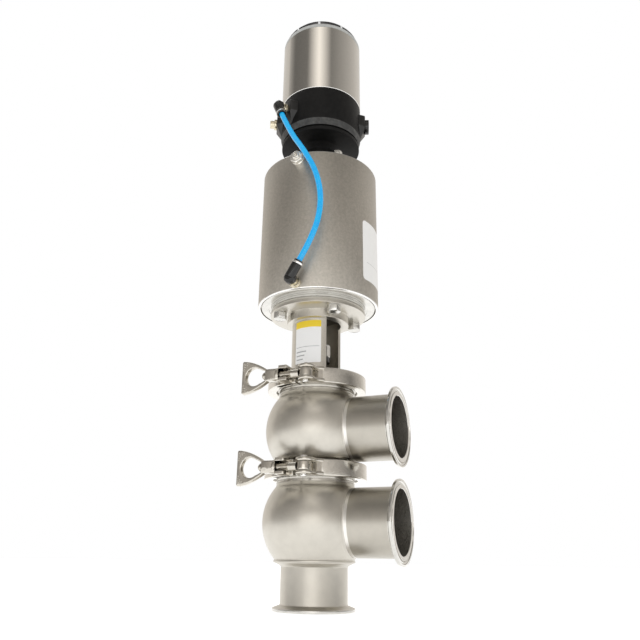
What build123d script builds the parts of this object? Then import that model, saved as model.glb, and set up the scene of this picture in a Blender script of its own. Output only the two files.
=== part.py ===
from build123d import *
import math
import os

os.makedirs("parts", exist_ok=True)

# Product tube and the clamp ferrules at its open ends
tube_radius = 31.75
tube_wall = 2.0
ferrule_radius = 38.75
ferrule_rim = 2.85
ferrule_slope = math.tan(math.radians(20))
gasket_track_radius = 35.25
gasket_groove_radius = 1.6
port_reach = 88.0
weld_leg = 1.5

# The two ball housings, one above the other on the valve axis
ball_radius = 50.8
ball_wall = 3.0
lower_height = 78.0
neck_radius = 38.5
neck_wall = 2.5
long_neck_inset = 4.3
short_neck_inset = 9.3

# The drain end under the lower ball
drain_inset = 14.6
drain_cone_height = 2.8
drain_cone_wall = 3.6
collar_radius = 38.2
collar_step = 0.6
boss_height = 4.2
carrier_spigot_radius = 27.0
carrier_spigot_length = 4.0

# Clamped joints: lower housing to upper housing, upper housing to yoke
joint_gap = 2.0
joint_rim_radius = 45.5
joint_rim = 2.85
insert_flange_radius = 43.5
insert_play = 0.1
ring_track_radius = 38.5
ring_wire_radius = 1.4
ring_groove_play = 0.2

# Seats, plugs and stems
seat_bore = 31.0
seat_half_height = 9.5
running_gap = 0.06
bore_relief = 0.4
seal_lip = 1.2
plug_nose = 4.0
plug_flange_radius = 34.6
plug_flange_height = 5.0
cavity_height = 6.0
lower_head_height = 8.0
leak_tube_radius = 19.0
leak_tube_wall = 3.0
leak_tube_foot = 8.0
inner_stem_radius = 5.0
outer_stem_radius = 8.0
seal_width = 3.4
seal_depth = 2.6
face_seal_depth = 2.0

# Coupling seen through the yoke window, above the upper joint
coupling_radius = 13.7
coupling_length = 13.0
coupling_rise = 31.0
coupling_teeth = 24
coupling_tooth_depth = 0.5
coupling_tooth_width = 1.2
coupling_plain_band = 1.5
stroke_collar_length = 5.0
stroke_collar_radius = 13.0

# Yoke
yoke_radius = 27.2
yoke_wall = 2.6
yoke_height = 80.0
yoke_foot_height = 5.6
yoke_flange_lap = 0.2
yoke_flange_height = 5.0
yoke_collar_radius = 33.0
yoke_collar_height = 9.0
window_half_angle = 48.0
yoke_bolt_inset = 8.0

# Actuator
actuator_radius = 65.0
actuator_wall = 2.5
actuator_length = 160.5
base_step_height = 4.0
base_height = 12.0
cap_height = 15.0
piston_height = 14.0
piston_rise = 21.5
sleeve_collar_radius = 17.0
sleeve_collar_height = 4.0
sleeve_collar_rise = 4.5
main_spring_radius = 42.0
main_spring_wire = 4.0
main_spring_turns = 5
upper_spring_radius = 12.5
upper_spring_wire = 1.8
upper_spring_turns = 2
top_bolt_track_radius = 50.0
port_thread_radius = 5.0

# Control head
adapter_radius = 18.0
adapter_height = 43.5
adapter_disc_radius = 46.0
adapter_disc_height = 4.0
head_radius = 47.6
head_wall = 4.2
head_floor = 4.5
head_groove_height = 2.5
head_chamfer_height = 7.8
head_base_height = 52.8
head_spigot_height = 7.7
cover_radius = 47.7
cover_wall = 1.2
cover_height = 94.6
lens_radius = 46.3
lens_rim_height = 5.1
lens_crown_radius = 42.0
lens_height = 10.4
lens_wall = 2.0
boss_face = 53.5
boss_height_in_head = 31.0

# Clamps round the two joints
clamp_radius = 50.5
clamp_height = 15.2
clamp_lip_radius = 41.6
clamp_groove_radius = 46.1
clamp_play = 0.05
clamp_split = 3.0
ear_depth = 64.0
ear_root = 44.0
fork_width = 18.0
fork_corner_radius = 5.0
ear_gap = 5.0
ear_width = 12.0
bolt_line = 56.0
pivot_offset = 12.0
bolt_radius = 4.0
bolt_end = 34.7
nut_seat_radius = 27.0
nut_neck_length = 13.0
nut_neck_half = 5.8
loop_half_height = 16.6
loop_length = 28.0
loop_thickness = 6.0
pin_radius = 3.0
pin_length = 19.6
hinge_line = 54.5
knuckle_radius = 6.0
knuckle_half = 3.7

# Air fittings and the blue air tube
air_tube_radius = 3.0
lower_fitting_angle = -88.0
lower_fitting_rise = 6.4
lower_elbow_reach = 80.0
head_fitting_angle = -118.0
head_elbow_reach = 65.0
elbow_arm_length = 19.0
silencer_angle = -152.0
blank_plug_angle = 20.0
vent_angle = -89.0
tube_bends = [
    (-8.0, -66.0, 188.5),
    (13.0, -76.0, 154.5),
    (31.0, -81.0, 118.5),
    (37.0, -82.0, 82.5),
    (29.0, -81.0, 48.5),
]

# Heights that follow from the sizes above
long_neck = ball_radius - long_neck_inset
short_neck = ball_radius - short_neck_inset
lower_joint = lower_height + long_neck
upper_height = lower_joint + short_neck
upper_joint = upper_height + long_neck
neck_bore = neck_radius - neck_wall
tube_bore = tube_radius - tube_wall
inner_ball_radius = ball_radius - ball_wall
drain_top = lower_height - (ball_radius - drain_inset)
drain_tube_length = drain_top - drain_cone_height
seat_top = lower_joint + seat_half_height
seat_foot = lower_joint - seat_half_height
upper_plug_foot = seat_top - plug_nose
lower_plug_top = upper_plug_foot - cavity_height
yoke_foot = upper_joint + joint_gap / 2
yoke_top = yoke_foot + yoke_height
yoke_flange_radius = ball_radius + yoke_flange_lap
bolt_track_radius = yoke_flange_radius - yoke_bolt_inset
actuator_foot = yoke_top + base_step_height
actuator_top = actuator_foot + actuator_length
cylinder_bore = actuator_radius - actuator_wall
base_top = actuator_foot + base_height
tube_corners = [Vector(x, y, actuator_foot + rise) for x, y, rise in tube_bends]
cap_foot = actuator_top - cap_height
piston_foot = base_top + piston_rise
piston_top = piston_foot + piston_height
sleeve_collar_foot = base_top + sleeve_collar_rise
sleeve_top = sleeve_collar_foot + sleeve_collar_height
adapter_top = actuator_top + adapter_height + adapter_disc_height
head_edge = adapter_top + head_base_height
cover_top = head_edge + cover_height
boss_level = adapter_top + boss_height_in_head
coupling_foot = upper_joint + coupling_rise
stem_split = coupling_foot + coupling_length / 2


# Shared shapes
def side_plane(angle, height):
    """Upright plane through the valve axis, its X pointing out at this angle."""
    bearing = math.radians(angle)
    outward = (math.cos(bearing), math.sin(bearing), 0)
    sideways = (math.sin(bearing), -math.cos(bearing), 0)
    return Plane(origin=(0, 0, height), x_dir=outward, z_dir=sideways)


def turned(outline, mode=Mode.ADD):
    """Turn a closed outline of (radius, height) points about the valve axis."""
    with BuildSketch(Plane.XZ) as section:
        with BuildLine():
            Polyline(outline, close=True)
        make_face()
    revolve(section.sketch, axis=Axis.Z, mode=mode)


def turned_out(plane, outline, mode=Mode.ADD):
    """Turn a closed outline of (reach, radius) points about the plane's X axis."""
    with BuildSketch(plane) as section:
        with BuildLine():
            Polyline(outline, close=True)
        make_face()
    revolve(section.sketch, axis=Axis(plane.origin, plane.x_dir), mode=mode)


def ring(inner, outer, foot, top, mode=Mode.ADD):
    """Plain ring on the valve axis."""
    turned([(inner, foot), (outer, foot), (outer, top), (inner, top)], mode)


def bore_out(plane, start, end, radius):
    """Cut a round hole along the plane's X axis, from one reach to another."""
    turned_out(plane, [(start, 0), (end, 0), (end, radius), (start, radius)], Mode.SUBTRACT)


def gasket_groove(plane, reach, mode=Mode.SUBTRACT):
    """Half-round gasket groove in a ferrule's face, round the plane's X axis."""
    with BuildSketch(plane) as section:
        with Locations((reach, gasket_track_radius)):
            Circle(gasket_groove_radius)
    revolve(section.sketch, axis=Axis(plane.origin, plane.x_dir), mode=mode)


def ferrule_back(outer, inner):
    """Depth of a ferrule from its face to the foot of its sloping back."""
    return ferrule_rim + (outer - inner) * ferrule_slope


def ball_chord(radius, reach):
    """Distance from the ball's centre at which a circle of this reach lies on it."""
    return math.sqrt(radius**2 - reach**2)


def joint_neck(centre, face, way):
    """Neck of a ball with the clamp flange that closes it; way is +1 up or -1 down."""
    back = joint_rim + (joint_rim_radius - neck_radius) * ferrule_slope
    turned(
        [
            (neck_bore, face),
            (joint_rim_radius, face),
            (joint_rim_radius, face - way * joint_rim),
            (neck_radius, face - way * back),
            (neck_radius, centre + way * ball_chord(ball_radius, neck_radius)),
            (neck_bore, centre + way * ball_chord(inner_ball_radius, neck_bore)),
        ]
    )
    reach = centre + way * (ball_radius + 1)
    low, high = sorted((centre, reach))
    ring(0, neck_bore, low, high, Mode.SUBTRACT)


def ring_groove(face, way):
    """Groove for a sealing ring in a joint face; way points into the metal."""
    low, high = sorted((face, face + way * 2 * ring_wire_radius))
    half = ring_wire_radius + ring_groove_play
    ring(ring_track_radius - half, ring_track_radius + half, low, high, Mode.SUBTRACT)


def side_hole(centre):
    """Opening of a side port in the wall of a ball."""
    bore_out(side_plane(0, centre), 0, ball_radius + 1, tube_bore)


def save(piece, name):
    """Label a finished piece and write it out."""
    piece.part.label = name
    export_step(piece.part, f"parts/{name}.step")


# Lower ball housing, with its neck, collar and the bore for the drain seal
lower_face = lower_joint - joint_gap / 2
with BuildPart() as lower_housing:
    with Locations((0, 0, lower_height)):
        Sphere(ball_radius)
        Sphere(inner_ball_radius, mode=Mode.SUBTRACT)
    joint_neck(lower_height, lower_face, 1)
    ring(0, ball_radius, lower_height - ball_radius - 1, drain_top, Mode.SUBTRACT)
    ring(carrier_spigot_radius, collar_radius, drain_top, drain_top + boss_height)
    ring_groove(lower_face, -1)
    side_hole(lower_height)
save(lower_housing, "lower_housing")

# Upper ball housing, with a neck at each end
upper_foot_face = lower_joint + joint_gap / 2
upper_face = upper_joint - joint_gap / 2
with BuildPart() as upper_housing:
    with Locations((0, 0, upper_height)):
        Sphere(ball_radius)
        Sphere(inner_ball_radius, mode=Mode.SUBTRACT)
    joint_neck(upper_height, upper_face, 1)
    joint_neck(upper_height, upper_foot_face, -1)
    ring_groove(upper_face, -1)
    ring_groove(upper_foot_face, 1)
    side_hole(upper_height)
save(upper_housing, "upper_housing")

# Side ports, each a tube welded over its ball's opening and ending in a ferrule
side_ports = (("lower_port", lower_height, (1,)), ("upper_port", upper_height, (1, -1)))
neck_start = ball_chord(ball_radius, neck_radius)
for name, centre, neck_ways in side_ports:
    plane = side_plane(0, centre)
    mouth = ball_chord(ball_radius, tube_bore)
    weld = ball_chord(ball_radius, tube_radius)
    toe = ball_chord(ball_radius, tube_radius + weld_leg)
    with BuildPart() as port:
        with BuildSketch(plane):
            with BuildLine():
                Polyline(
                    (toe, tube_radius + weld_leg),
                    (weld + weld_leg, tube_radius),
                    (port_reach - ferrule_back(ferrule_radius, tube_radius), tube_radius),
                    (port_reach - ferrule_rim, ferrule_radius),
                    (port_reach, ferrule_radius),
                    (port_reach, tube_bore),
                    (mouth, tube_bore),
                )
                ThreePointArc((mouth, tube_bore), (weld, tube_radius), (toe, tube_radius + weld_leg))
            make_face()
        revolve(axis=Axis(plane.origin, plane.x_dir))
        gasket_groove(plane, port_reach)
        for way in neck_ways:
            low, high = sorted((centre + way * neck_start, centre + way * ball_radius))
            ring(0, neck_radius, low, high, Mode.SUBTRACT)
    save(port, name)

# Drain port, the tube under the collar that the leakage tube empties into
with BuildPart() as drain_port:
    turned(
        [
            (tube_bore, 0),
            (ferrule_radius, 0),
            (ferrule_radius, ferrule_rim),
            (tube_radius, ferrule_back(ferrule_radius, tube_radius)),
            (tube_radius, drain_tube_length),
            (collar_radius - collar_step, drain_top),
            (collar_radius - collar_step - drain_cone_wall, drain_top),
            (tube_bore, drain_tube_length - tube_wall / 2),
        ]
    )
    gasket_groove(Plane(origin=(0, 0, 0), x_dir=(0, 0, 1), z_dir=(0, -1, 0)), 0)
save(drain_port, "drain_port")

# Seat ring held between the two housings
with BuildPart() as seat_ring:
    ring(seat_bore, neck_bore - insert_play, seat_foot, seat_top)
    ring(seat_bore, insert_flange_radius, lower_joint - joint_gap / 2, lower_joint + joint_gap / 2)
save(seat_ring, "seat_ring")

# Sealing rings in the joint faces
with BuildPart() as joint_seals:
    for face, way in ((lower_face, -1), (upper_foot_face, 1), (upper_face, -1)):
        with Locations((0, 0, face + way * ring_wire_radius)):
            Torus(ring_track_radius, ring_wire_radius)
save(joint_seals, "joint_seals")

# Bonnet that closes the upper housing and carries the stem's seal and bush
bonnet_hub_radius = 16.0
bonnet_hub_height = 8.0
bonnet_spigot = 8.0
stem_bush_wall = 2.0
stem_seal_wall = 3.0
stem_clear = outer_stem_radius + running_gap
bonnet_foot = upper_face - bonnet_spigot
stem_seal_foot = bonnet_foot + seal_lip
stem_seal_top = stem_seal_foot + seal_width
stem_bush_foot = stem_seal_top + seal_lip
stem_bush_top = yoke_foot + bonnet_hub_height
with BuildPart() as bonnet:
    ring(stem_clear + bore_relief, neck_bore - insert_play, bonnet_foot, upper_face)
    ring(stem_clear + bore_relief, insert_flange_radius, upper_face, yoke_foot)
    ring(stem_clear + bore_relief, bonnet_hub_radius, yoke_foot, stem_bush_top)
    ring(0, stem_clear + stem_seal_wall, stem_seal_foot, stem_seal_top, Mode.SUBTRACT)
    ring(0, stem_clear + stem_bush_wall, stem_bush_foot, stem_bush_top, Mode.SUBTRACT)
save(bonnet, "bonnet")

with BuildPart() as stem_seal:
    ring(stem_clear, stem_clear + stem_seal_wall, stem_seal_foot, stem_seal_top)
save(stem_seal, "stem_seal")

with BuildPart() as stem_bush:
    ring(stem_clear, stem_clear + stem_bush_wall, stem_bush_foot, stem_bush_top)
save(stem_bush, "stem_bush")

# Carrier of the drain seal and bush, on the floor of the lower ball
carrier_floor = drain_top + boss_height
carrier_flange_radius = 32.5
carrier_flange_height = 4.0
carrier_top = carrier_floor + carrier_flange_height
carrier_foot = drain_top - carrier_spigot_length
leak_clear = leak_tube_radius + running_gap
drain_bush_wall = 2.2
drain_seal_wall = 4.0
drain_seal_drop = 0.8
drain_seal_foot = carrier_floor - drain_seal_drop
drain_seal_top = drain_seal_foot + seal_width
drain_bush_top = drain_seal_foot - seal_lip
with BuildPart() as drain_seal_carrier:
    ring(leak_clear + bore_relief, carrier_spigot_radius - running_gap, carrier_foot, carrier_floor)
    ring(leak_clear + bore_relief, carrier_flange_radius, carrier_floor, carrier_top)
    ring(0, leak_clear + drain_bush_wall, carrier_foot, drain_bush_top, Mode.SUBTRACT)
    ring(0, leak_clear + drain_seal_wall, drain_seal_foot, drain_seal_top, Mode.SUBTRACT)
save(drain_seal_carrier, "drain_seal_carrier")

with BuildPart() as drain_bush:
    ring(leak_clear, leak_clear + drain_bush_wall, carrier_foot, drain_bush_top)
save(drain_bush, "drain_bush")

with BuildPart() as drain_seal:
    ring(leak_clear, leak_clear + drain_seal_wall, drain_seal_foot, drain_seal_top)
save(drain_seal, "drain_seal")

# Lower plug: sealing head, hub for the inner stem, and the leakage tube below it
plug_radius = seat_bore - running_gap
leak_bore = leak_tube_radius - leak_tube_wall
head_foot = lower_plug_top - lower_head_height
head_web = 6.0
hub_radius = 7.5
spigot_radius = 4.0
spigot_length = 10.0
leak_hole_radius = 2.8
leak_hole_circle = (hub_radius + leak_bore) / 2
lower_seal_rise = 2.2
lower_seal_foot = head_foot + lower_seal_rise
plug_taper_height = 6.0
plug_taper_step = 2.0
plug_edge_height = 1.0
hub_floor = 2.0
with BuildPart() as lower_plug:
    turned(
        [
            (leak_bore, leak_tube_foot),
            (leak_tube_radius, leak_tube_foot),
            (leak_tube_radius, head_foot - plug_edge_height - plug_taper_height),
            (plug_radius - plug_taper_step, head_foot - plug_edge_height),
            (plug_radius, head_foot),
            (plug_radius, lower_plug_top),
            (0, lower_plug_top),
            (0, lower_plug_top - spigot_length - hub_floor),
            (hub_radius, lower_plug_top - spigot_length - hub_floor),
            (hub_radius, lower_plug_top - head_web),
            (leak_bore, lower_plug_top - head_web),
        ]
    )
    seal_floor = plug_radius - seal_depth
    ring(seal_floor, plug_radius + 1, lower_seal_foot, lower_seal_foot + seal_width, Mode.SUBTRACT)
    ring(0, spigot_radius, lower_plug_top - spigot_length, lower_plug_top, Mode.SUBTRACT)
    with Locations(Plane.XY.offset(lower_plug_top)):
        with PolarLocations(leak_hole_circle, 4):
            Hole(leak_hole_radius, head_web + 1)
save(lower_plug, "lower_plug")

with BuildPart() as lower_plug_seal:
    ring(seal_floor, plug_radius, lower_seal_foot, lower_seal_foot + seal_width)
save(lower_plug_seal, "lower_plug_seal")

# Upper plug: rests on the seat ring, with a face seal under its flange
plug_cone_height = 10.0
plug_top_height = 3.0
plug_hub_wall = 4.0
plug_hub_step = 1.0
socket_rise = 2.0
socket_floor = seat_top + socket_rise
upper_plug_top = seat_top + plug_flange_height + plug_cone_height + plug_top_height
inner_clear = inner_stem_radius + running_gap
face_seal_offset = 1.0
face_seal_width = 2.2
face_seal_inner = seat_bore + face_seal_offset
face_seal_outer = face_seal_inner + face_seal_width
with BuildPart() as upper_plug:
    turned(
        [
            (inner_clear, upper_plug_foot),
            (plug_radius, upper_plug_foot),
            (plug_radius, seat_top),
            (plug_flange_radius, seat_top),
            (plug_flange_radius, seat_top + plug_flange_height),
            (outer_stem_radius + plug_hub_wall + plug_hub_step, upper_plug_top - plug_top_height),
            (outer_stem_radius + plug_hub_wall, upper_plug_top),
            (outer_stem_radius, upper_plug_top),
            (outer_stem_radius, socket_floor),
            (inner_clear, socket_floor),
        ]
    )
    ring(face_seal_inner, face_seal_outer, seat_top, seat_top + face_seal_depth, Mode.SUBTRACT)
save(upper_plug, "upper_plug")

with BuildPart() as upper_plug_seal:
    ring(face_seal_inner, face_seal_outer, seat_top, seat_top + face_seal_depth)
save(upper_plug_seal, "upper_plug_seal")

# Hollow stem of the upper plug, and the sleeve that continues it into the actuator
with BuildPart() as outer_stem:
    ring(inner_clear, outer_stem_radius, socket_floor, stem_split)
save(outer_stem, "outer_stem")

with BuildPart() as actuator_sleeve:
    ring(inner_clear, outer_stem_radius, stem_split, sleeve_top)
    ring(inner_clear, sleeve_collar_radius, sleeve_collar_foot, sleeve_top)
save(actuator_sleeve, "actuator_sleeve")

# Knurled coupling over the joint of the two, and the black stroke collar under it
with BuildPart() as stem_coupling:
    ring(outer_stem_radius, coupling_radius, coupling_foot, coupling_foot + coupling_length)
    with BuildSketch(Plane.XY.offset(coupling_foot + coupling_plain_band)):
        with PolarLocations(coupling_radius, coupling_teeth):
            Rectangle(2 * coupling_tooth_depth, coupling_tooth_width)
    extrude(amount=coupling_length - 2 * coupling_plain_band, mode=Mode.SUBTRACT)
save(stem_coupling, "stem_coupling")

with BuildPart() as stroke_collar:
    ring(outer_stem_radius, stroke_collar_radius, coupling_foot - stroke_collar_length, coupling_foot)
save(stroke_collar, "stroke_collar")

# Inner stem from the lower plug up to the position target in the head
target_radius = 9.0
target_height = 6.0
target_rise = 8.0
target_foot = adapter_top + head_floor + target_rise
with BuildPart() as inner_stem:
    ring(0, spigot_radius, lower_plug_top - spigot_length, lower_plug_top)
    ring(0, inner_stem_radius, lower_plug_top, target_foot + target_height)
save(inner_stem, "inner_stem")

with BuildPart() as sensor_target:
    ring(inner_stem_radius, target_radius, target_foot, target_foot + target_height)
save(sensor_target, "sensor_target")

# Yoke with its window towards the side ports
yoke_bore = yoke_radius - yoke_wall
yoke_flange_foot = yoke_top - yoke_flange_height
yoke_collar_foot = yoke_flange_foot - yoke_collar_height
yoke_back = joint_rim + (joint_rim_radius - neck_radius) * ferrule_slope
bolt_clear = 4.2
yoke_roof_bore = 15.0
yoke_foot_bead = 1.5
window_sill = 2.0
with BuildPart() as yoke:
    turned(
        [
            (yoke_bore, yoke_foot),
            (joint_rim_radius, yoke_foot),
            (joint_rim_radius, yoke_foot + joint_rim),
            (neck_radius, yoke_foot + yoke_back),
            (neck_radius, yoke_foot + yoke_foot_height),
            (yoke_radius + yoke_foot_bead, yoke_foot + yoke_foot_height),
            (yoke_radius, yoke_foot + yoke_foot_height + yoke_foot_bead),
            (yoke_radius, yoke_collar_foot),
            (yoke_collar_radius, yoke_collar_foot),
            (yoke_collar_radius, yoke_flange_foot),
            (yoke_flange_radius, yoke_flange_foot),
            (yoke_flange_radius, yoke_top),
            (yoke_roof_bore, yoke_top),
            (yoke_roof_bore, yoke_flange_foot),
            (yoke_bore, yoke_flange_foot),
        ]
    )
    window_foot = yoke_foot + yoke_foot_height + window_sill
    reach = 2 * yoke_radius
    jamb = math.radians(window_half_angle)
    with BuildSketch(Plane.XY.offset(window_foot)) as window:
        with BuildLine():
            Polyline(
                (0, 0),
                (reach * math.cos(jamb), -reach * math.sin(jamb)),
                (reach * math.cos(jamb), reach * math.sin(jamb)),
                close=True,
            )
        make_face()
        Circle(yoke_collar_radius, mode=Mode.INTERSECT)
    extrude(amount=yoke_collar_foot - window_foot, mode=Mode.SUBTRACT)
    with Locations(Plane.XY.offset(yoke_top)):
        with PolarLocations(bolt_track_radius, 4, start_angle=45):
            Hole(bolt_clear, yoke_flange_height)
save(yoke, "yoke")

# Yoke bolts, heads hanging under the flange
bolt_head_height = 7.5
bolt_head_radius = 7.2
bolt_shank_radius = 4.0
bolt_thread_depth = 10.0
with BuildPart() as yoke_bolts:
    with BuildSketch(Plane.XY.offset(yoke_flange_foot - bolt_head_height)):
        with PolarLocations(bolt_track_radius, 4, start_angle=45):
            RegularPolygon(bolt_head_radius, 6)
    extrude(amount=bolt_head_height)
    with BuildSketch(Plane.XY.offset(yoke_flange_foot)):
        with PolarLocations(bolt_track_radius, 4, start_angle=45):
            Circle(bolt_shank_radius)
    extrude(amount=yoke_flange_height + bolt_thread_depth)
save(yoke_bolts, "yoke_bolts")

# Actuator base with its stepped ring, rod bush and air port
rod_bush_wall = 2.4
lower_fitting_height = actuator_foot + lower_fitting_rise
lower_fitting_plane = side_plane(lower_fitting_angle, lower_fitting_height)
port_depth = 12.0
with BuildPart() as actuator_base:
    ring(stem_clear + rod_bush_wall, yoke_flange_radius, yoke_top, actuator_foot)
    ring(stem_clear + rod_bush_wall, cylinder_bore, actuator_foot, base_top)
    with Locations(Plane.XY.offset(yoke_top + bolt_thread_depth)):
        with PolarLocations(bolt_track_radius, 4, start_angle=45):
            Hole(bolt_shank_radius, bolt_thread_depth)
    bore_out(lower_fitting_plane, cylinder_bore - port_depth, actuator_radius, port_thread_radius)
save(actuator_base, "actuator_base")

with BuildPart() as rod_bush:
    ring(stem_clear, stem_clear + rod_bush_wall, yoke_top, base_top)
save(rod_bush, "rod_bush")

# Actuator barrel
rim_bevel = 1.2
vent_height = actuator_top - cap_height / 2
vent_plane = side_plane(vent_angle, vent_height)
with BuildPart() as actuator_cylinder:
    turned(
        [
            (cylinder_bore, actuator_foot),
            (actuator_radius - rim_bevel / 2, actuator_foot),
            (actuator_radius, actuator_foot + rim_bevel / 2),
            (actuator_radius, actuator_top - rim_bevel),
            (actuator_radius - rim_bevel, actuator_top),
            (cylinder_bore, actuator_top),
        ]
    )
    for plane in (lower_fitting_plane, vent_plane):
        bore_out(plane, cylinder_bore - port_thread_radius, actuator_radius + 1, port_thread_radius)
save(actuator_cylinder, "actuator_cylinder")

# Top cap of the actuator and its bolts
top_bolt_depth = 11.0
top_bolt_head = 11.5
top_bolt_radius = 5.6
top_bolt_shank = 3.0
with BuildPart() as actuator_top_cap:
    ring(inner_clear, cylinder_bore, cap_foot, actuator_top)
    with Locations(Plane.XY.offset(actuator_top)):
        with PolarLocations(top_bolt_track_radius, 4, start_angle=45):
            Hole(top_bolt_shank, top_bolt_depth)
    bore_out(vent_plane, cylinder_bore - port_depth, actuator_radius, port_thread_radius)
save(actuator_top_cap, "actuator_top_cap")

with BuildPart() as top_bolts:
    with BuildSketch(Plane.XY.offset(actuator_top - top_bolt_depth)):
        with PolarLocations(top_bolt_track_radius, 4, start_angle=45):
            Circle(top_bolt_shank)
    extrude(amount=top_bolt_depth)
    with BuildSketch(Plane.XY.offset(actuator_top)):
        with PolarLocations(top_bolt_track_radius, 4, start_angle=45):
            RegularPolygon(top_bolt_radius, 6)
    extrude(amount=top_bolt_head)
save(top_bolts, "top_bolts")

# Vent plug near the top of the barrel
vent_hex_radius = 6.4
vent_hex_height = 4.5
vent_length = 8.5
vent_hex_reach = actuator_radius + vent_hex_height
vent_tip_reach = actuator_radius + vent_length
vent_tip_radius = 3.4
vent_tip_root = 4.2
thread_end_play = 1.0
vent_thread_end = cylinder_bore - port_depth + thread_end_play
vent_wall = vent_plane.origin + vent_plane.x_dir * actuator_radius
with BuildPart() as vent_plug:
    turned_out(
        vent_plane,
        [
            (vent_thread_end, 0),
            (vent_tip_reach, 0),
            (vent_tip_reach, vent_tip_radius),
            (vent_hex_reach, vent_tip_root),
            (vent_hex_reach, port_thread_radius),
            (vent_thread_end, port_thread_radius),
        ],
    )
    with BuildSketch(Plane(origin=vent_wall, x_dir=(0, 0, 1), z_dir=vent_plane.x_dir)):
        RegularPolygon(vent_hex_radius, 6)
    extrude(amount=vent_hex_reach - actuator_radius)
save(vent_plug, "vent_plug")

# Piston on the inner stem, with its seal
piston_radius = cylinder_bore - running_gap
piston_seal_floor = piston_radius - seal_depth
piston_groove_foot = piston_foot + (piston_height - seal_width) / 2
piston_groove_top = piston_groove_foot + seal_width
with BuildPart() as piston:
    ring(inner_stem_radius, piston_radius, piston_foot, piston_top)
    ring(piston_seal_floor, piston_radius + 1, piston_groove_foot, piston_groove_top, Mode.SUBTRACT)
save(piston, "piston")

with BuildPart() as piston_seal:
    ring(piston_seal_floor, piston_radius, piston_groove_foot, piston_groove_top)
save(piston_seal, "piston_seal")


def coil_spring(foot, top, radius, wire, turns):
    """Sweep a round wire along a helix between two flat seats."""
    height = top - foot - 2 * wire
    with BuildLine(Plane.XY.offset(foot + wire)) as path:
        Helix(height / turns, height, radius)
    start = path.line @ 0
    along = path.line % 0
    with BuildSketch(Plane(origin=start, z_dir=along)) as section:
        Circle(wire)
    sweep(section.sketch, path=path.line, is_frenet=True)


# Main closing spring over the piston, and the upper plug's spring under it
with BuildPart() as main_spring:
    coil_spring(piston_top, cap_foot, main_spring_radius, main_spring_wire, main_spring_turns)
save(main_spring, "main_spring")

with BuildPart() as upper_spring:
    coil_spring(sleeve_top, piston_foot, upper_spring_radius, upper_spring_wire, upper_spring_turns)
save(upper_spring, "upper_spring")

# Black adapter between the actuator and the control head
adapter_foot_radius = 26.0
adapter_foot_height = 4.0
adapter_foot_slope = 3.0
adapter_flare = 6.0
adapter_flare_height = 4.0
stem_passage_play = 1.5
stem_passage = inner_stem_radius + stem_passage_play
adapter_disc_foot = adapter_top - adapter_disc_height
with BuildPart() as head_adapter:
    turned(
        [
            (stem_passage, actuator_top),
            (adapter_foot_radius, actuator_top),
            (adapter_foot_radius, actuator_top + adapter_foot_height),
            (adapter_radius, actuator_top + adapter_foot_height + adapter_foot_slope),
            (adapter_radius, adapter_disc_foot - adapter_flare_height),
            (adapter_radius + adapter_flare, adapter_disc_foot),
            (adapter_disc_radius, adapter_disc_foot),
            (adapter_disc_radius, adapter_top),
            (stem_passage, adapter_top),
        ]
    )
save(head_adapter, "head_adapter")

# Port boss of the control head: a shield shape that tapers down into the wall
boss_half_width = 10.0
boss_top_height = 9.5
boss_corner = 3.0
boss_shoulder = 5.0
boss_foot_depth = 19.5
boss_foot_half = 3.0
boss_face_foot = 7.0
boss_toe = 0.5
head_bore = head_radius - head_wall
with BuildPart() as port_boss:
    with BuildSketch(Plane.YZ.offset(head_bore)):
        with BuildLine():
            Polyline(
                (-boss_half_width, -boss_shoulder),
                (-boss_half_width, boss_top_height - boss_corner),
                (-boss_half_width + boss_corner, boss_top_height),
                (boss_half_width - boss_corner, boss_top_height),
                (boss_half_width, boss_top_height - boss_corner),
                (boss_half_width, -boss_shoulder),
                (boss_foot_half, -boss_foot_depth),
                (-boss_foot_half, -boss_foot_depth),
                close=True,
            )
        make_face()
    extrude(amount=boss_face - head_bore)
    with BuildSketch(Plane.XZ.offset(-boss_half_width)):
        with BuildLine():
            Polyline(
                (head_bore, -boss_foot_depth),
                (head_radius - boss_toe, -boss_foot_depth),
                (boss_face, -boss_face_foot),
                (boss_face, boss_top_height),
                (head_bore, boss_top_height),
                close=True,
            )
        make_face()
    extrude(amount=2 * boss_half_width, mode=Mode.INTERSECT)

# Base of the control head, an open cup with three port bosses
boss_angles = (head_fitting_angle, silencer_angle, blank_plug_angle)
head_hole = target_radius + 2.0
head_foot_inset = 2.1
seal_land = 1.5
cover_play = 0.1
cover_spigot_radius = cover_radius - cover_wall - cover_play
cover_seal_rise = 2.6
cover_seal_width = 2.5
cover_seal_foot = head_edge + cover_seal_rise
cover_seal_top = cover_seal_foot + cover_seal_width
with BuildPart() as head_base:
    turned(
        [
            (head_hole, adapter_top),
            (head_bore, adapter_top),
            (head_bore, adapter_top + head_groove_height),
            (head_radius - head_foot_inset, adapter_top + head_groove_height),
            (head_radius, adapter_top + head_groove_height + head_chamfer_height),
            (head_radius, head_edge),
            (cover_spigot_radius, head_edge),
            (cover_spigot_radius, head_edge + head_spigot_height),
            (head_bore, head_edge + head_spigot_height),
            (head_bore, adapter_top + head_floor),
            (head_hole, adapter_top + head_floor),
        ]
    )
    for angle in boss_angles:
        add(Rot(0, 0, angle) * Pos(0, 0, boss_level) * port_boss.part)
    ring(0, head_bore, adapter_top + head_floor, boss_level + boss_top_height + 1, Mode.SUBTRACT)
    for angle in boss_angles:
        bore_out(side_plane(angle, boss_level), head_bore - 1, boss_face + 1, port_thread_radius)
    ring(head_bore + seal_land, cover_spigot_radius + 1, cover_seal_foot, cover_seal_top, Mode.SUBTRACT)
save(head_base, "head_base")

with BuildPart() as cover_seal:
    ring(head_bore + seal_land, cover_spigot_radius, cover_seal_foot, cover_seal_top)
save(cover_seal, "cover_seal")

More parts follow.
